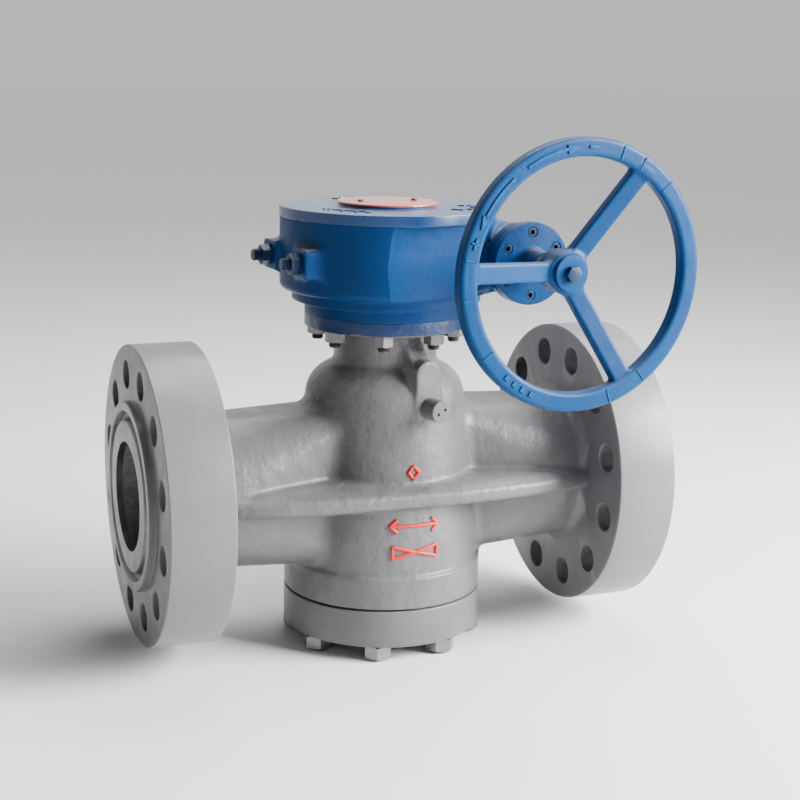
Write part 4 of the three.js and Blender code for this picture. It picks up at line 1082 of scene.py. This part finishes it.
def rubber_finish():
    """Black nitrile rubber, a little greasy."""
    material, tree, shader = finish_of("nitrile_rubber")
    tone = blend_of(tree, mottle(tree, 200, 0, 1, 4), (0.018, 0.018, 0.018), (0.04, 0.038, 0.036))
    tree.links.new(tone, shader.inputs["Base Color"])
    tree.links.new(mottle(tree, 90, 0.5, 0.75), shader.inputs["Roughness"])
    tree.links.new(relief(tree, (mottle(tree, 600, 0, 1, 2), 0.2, 0.0004)), shader.inputs["Normal"])
    return material


seal = turned("shaft_lip_seal", eased([(0.0116, 0.1663), (0.016, 0.1663), (0.016, 0.177), (0.0132, 0.177),
                                       (0.0118, 0.1745), (0.0116, 0.1663)], 0.0007), worm_line, 64)
fitted(seal, "valve", "rubber", rubber_finish(), "shaft_seal")

# ---------------------------------------------------------------------------------------------
# Handwheel: one iron casting, dished back to its hub by three flat spokes and keyed to the worm
# shaft. A washer and a bolt in the shaft end hold it on. The rim carries raised turning arrows.
# ---------------------------------------------------------------------------------------------
wheel_low, wheel_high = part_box("handwheel")
wheel_r = (wheel_high.z - wheel_low.z) / 2
rim_plane, rim_half_radial, rim_half_axial = 0.2614, 0.012, 0.010
hub_r, hub_back, hub_front = 0.0275, 0.202, 0.2385
spoke_angles = [math.radians(a) for a in (57, 177, 297)]


def wheel_form(x, y, z):
    out = np.hypot(x, y)
    ring_x, ring_z = np.abs(out - wheel_r + rim_half_radial) - 0.0068, np.abs(z - rim_plane) - 0.0048
    form = rounded(ring_x, ring_z) - 0.0052
    hub = soft_cut(out - hub_r, np.maximum(hub_back - z, z - hub_front), 0.003)
    arms = None
    for angle in spoke_angles:
        reach = x * math.cos(angle) + y * math.sin(angle)
        aside = np.abs(-x * math.sin(angle) + y * math.cos(angle))
        centre = 0.2243 + (reach - 0.016) * (0.0361 / 0.136)
        deep = np.abs(z - centre) * 0.966
        arm = rounded(aside - 0.0095, deep - 0.0045) - 0.003
        arm = np.maximum(arm, np.maximum(0.012 - reach, reach - 0.154))
        arms = arm if arms is None else np.minimum(arms, arm)
    return soft_join(soft_join(form, arms, 0.005), hub, 0.007)


wheel = cast("handwheel_casting", wheel_form, (-0.175, -0.175, 0.196), (0.175, 0.175, 0.278),
             0.0019)
wheel_cuts = [rod(0.0113, 0.19, 0.26, None, 48), block((-0.0033, 0.008, 0.19), (0.0033, 0.0143, 0.26))]
wheel = worked(wheel, wheel_cuts)
wheel.data.transform(worm_line)
wheel_blue, wheel_deep, wheel_worn = (0.0, 0.043, 0.145), (0.0, 0.031, 0.110), (0.0, 0.12, 0.30)
wheel_paint = enamel("handwheel_enamel", wheel_blue, wheel_deep, wheel_worn, 0.36, 0.2, None, 0.35)[0]
fitted(wheel, "handwheel_train", "operator_paint", wheel_paint, "handwheel")


rim_middle, rim_front, rise = wheel_r - rim_half_radial, rim_plane + rim_half_axial, 0.0018


def rim_mark(name, first, last, half_width, high=rise):
    """Raised flat mark on the front of the rim between two angles, in degrees from the first spoke side."""
    return raised_arc(name, first, last, rim_middle - half_width, rim_middle + half_width,
                      rim_front - 0.001, rim_front + high, worm_line)


def rim_head(name, tip, base):
    """Raised arrow head on the rim, pointing along it."""
    corners = [(rim_middle, tip), (rim_middle - 0.0055, base), (rim_middle + 0.0055, base)]
    points = [(r * math.cos(math.radians(a)), r * math.sin(math.radians(a)), z)
              for z in (rim_front - 0.001, rim_front + rise) for r, a in corners]
    return shape(name, points, [(0, 1, 2), (5, 4, 3), (0, 3, 4, 1), (1, 4, 5, 2), (2, 5, 3, 0)], worm_line)


stroke = 0.0017
rim_parts = [rim_mark("band", 100, 122, stroke), rim_head("head", 95, 101),
             rim_mark("band", 130, 152, stroke), rim_head("head", 157, 151),
             rim_mark("minus", 85, 90, stroke), rim_mark("plus", 161, 166, stroke),
             rim_mark("plus", 163.1, 163.9, 0.006)]
rim_parts += [rim_mark("line", a - 0.3, a + 0.3, 0.0085, 0.0011)
              for a in (43, 60, 72, 171, 188, 215, 286, 305)]
rim_parts += [rim_mark("dot", a, a + 2.2, 0.003) for a in (228, 233, 238, 243)]
for number, part in enumerate(rim_parts, 1):
    part.name = f"rim_mark_{number}"
    fitted(part, "handwheel_train", "operator_paint", wheel_paint)

washer = [(0.0065, 0.2388), (0.023, 0.2388), (0.023, 0.244), (0.0065, 0.244), (0.0065, 0.2388)]
fitted(turned("hub_washer", eased(washer, 0.0009), worm_line, 64),
       "handwheel_train", "operator_paint", wheel_paint, "handwheel_washer")
bolt_head = hexagon(0.019, 0.2443, 0.252, 0, worm_line)
shank = turned("shank", [(0, 0.211), (0.0055, 0.211), (0.006, 0.2118), (0.006, 0.246), (0, 0.246)],
               worm_line, 32)
bolt_head = worked(bolt_head, [shank], "UNION")
bolt_head.name = "hub_bolt"
fitted(bolt_head, "handwheel_train", "operator_paint", sprayed, "handwheel_bolt")
hub_key = block((-0.003, 0.0075, 0.206), (0.003, 0.014, 0.230), worm_line, 0.0004)
hub_key.name = "hub_key"
fitted(hub_key, "handwheel_train", "machined_steel", machined_steel, "handwheel_key")

# ---------------------------------------------------------------------------------------------
# Studio: a pale floor, one large soft key and broad window light from the right, and a wide top
# light. The room is dim for the fill, bright where gloss mirrors it, and even behind the valve.
# ---------------------------------------------------------------------------------------------
floor = shape("studio_floor", [(-30, -30, 0), (30, -30, 0), (30, 30, 0), (-30, 30, 0)], [(0, 1, 2, 3)])
pale, _, pale_shader = finish_of("pale_floor")
pale_shader.inputs["Base Color"].default_value = (0.87, 0.87, 0.87, 1)
pale_shader.inputs["Roughness"].default_value = 0.7
floor.data.materials.append(pale)


def soft_light(name, place, aim, size, power):
    """Square lamp of a given size in metres and power in watts, turned to a point."""
    lamp = bpy.data.lights.new(name, "AREA")
    lamp.shape, lamp.size, lamp.energy = "SQUARE", size, power
    light = bpy.data.objects.new(name, lamp)
    bpy.context.scene.collection.objects.link(light)
    light.location = place
    light.rotation_euler = (Vector(aim) - Vector(place)).to_track_quat("-Z", "Y").to_euler()


middle = (0, 0, 0.35)
soft_light("key_light", (2.0, -1.4, 1.3), middle, 1.5, 330)
soft_light("top_light", (0.5, 0.7, 2.4), middle, 1.6, 65)
sun = bpy.data.objects.new("window_light", bpy.data.lights.new("window_light", "SUN"))
sun.data.energy, sun.data.angle = 3.6, math.radians(40)
sun.rotation_euler = Vector((-1.0, 0.5, -0.62)).to_track_quat("-Z", "Y").to_euler()
bpy.context.scene.collection.objects.link(sun)
world = bpy.data.worlds.new("studio")
world.use_nodes = True
world.node_tree.nodes["Background"].inputs["Color"].default_value = (1, 1, 1, 1)
path = step_of(world.node_tree, "LightPath").outputs
sheen = ramp(world.node_tree, path["Is Glossy Ray"], 0.0, 1.0, 0.07, 1.0)
glow = ramp(world.node_tree, path["Is Camera Ray"], 0.0, 1.0, sheen, 0.66)
world.node_tree.links.new(glow, world.node_tree.nodes["Background"].inputs["Strength"])
bpy.context.scene.world = world

lens = bpy.data.cameras.new("camera")
lens.sensor_width, lens.lens = 36, 70.6
camera = bpy.data.objects.new("camera", lens)
bpy.context.scene.collection.objects.link(camera)
stand = Matrix.Translation((-0.7627, -1.9513, 0.7897))
swing, tilt, roll = (math.radians(a) for a in (-21.94, 77.58, 1.155))
camera.matrix_world = (stand @ Matrix.Rotation(swing, 4, "Z") @ Matrix.Rotation(tilt, 4, "X")
                       @ Matrix.Rotation(roll, 4, "Z"))
bpy.context.scene.camera = camera
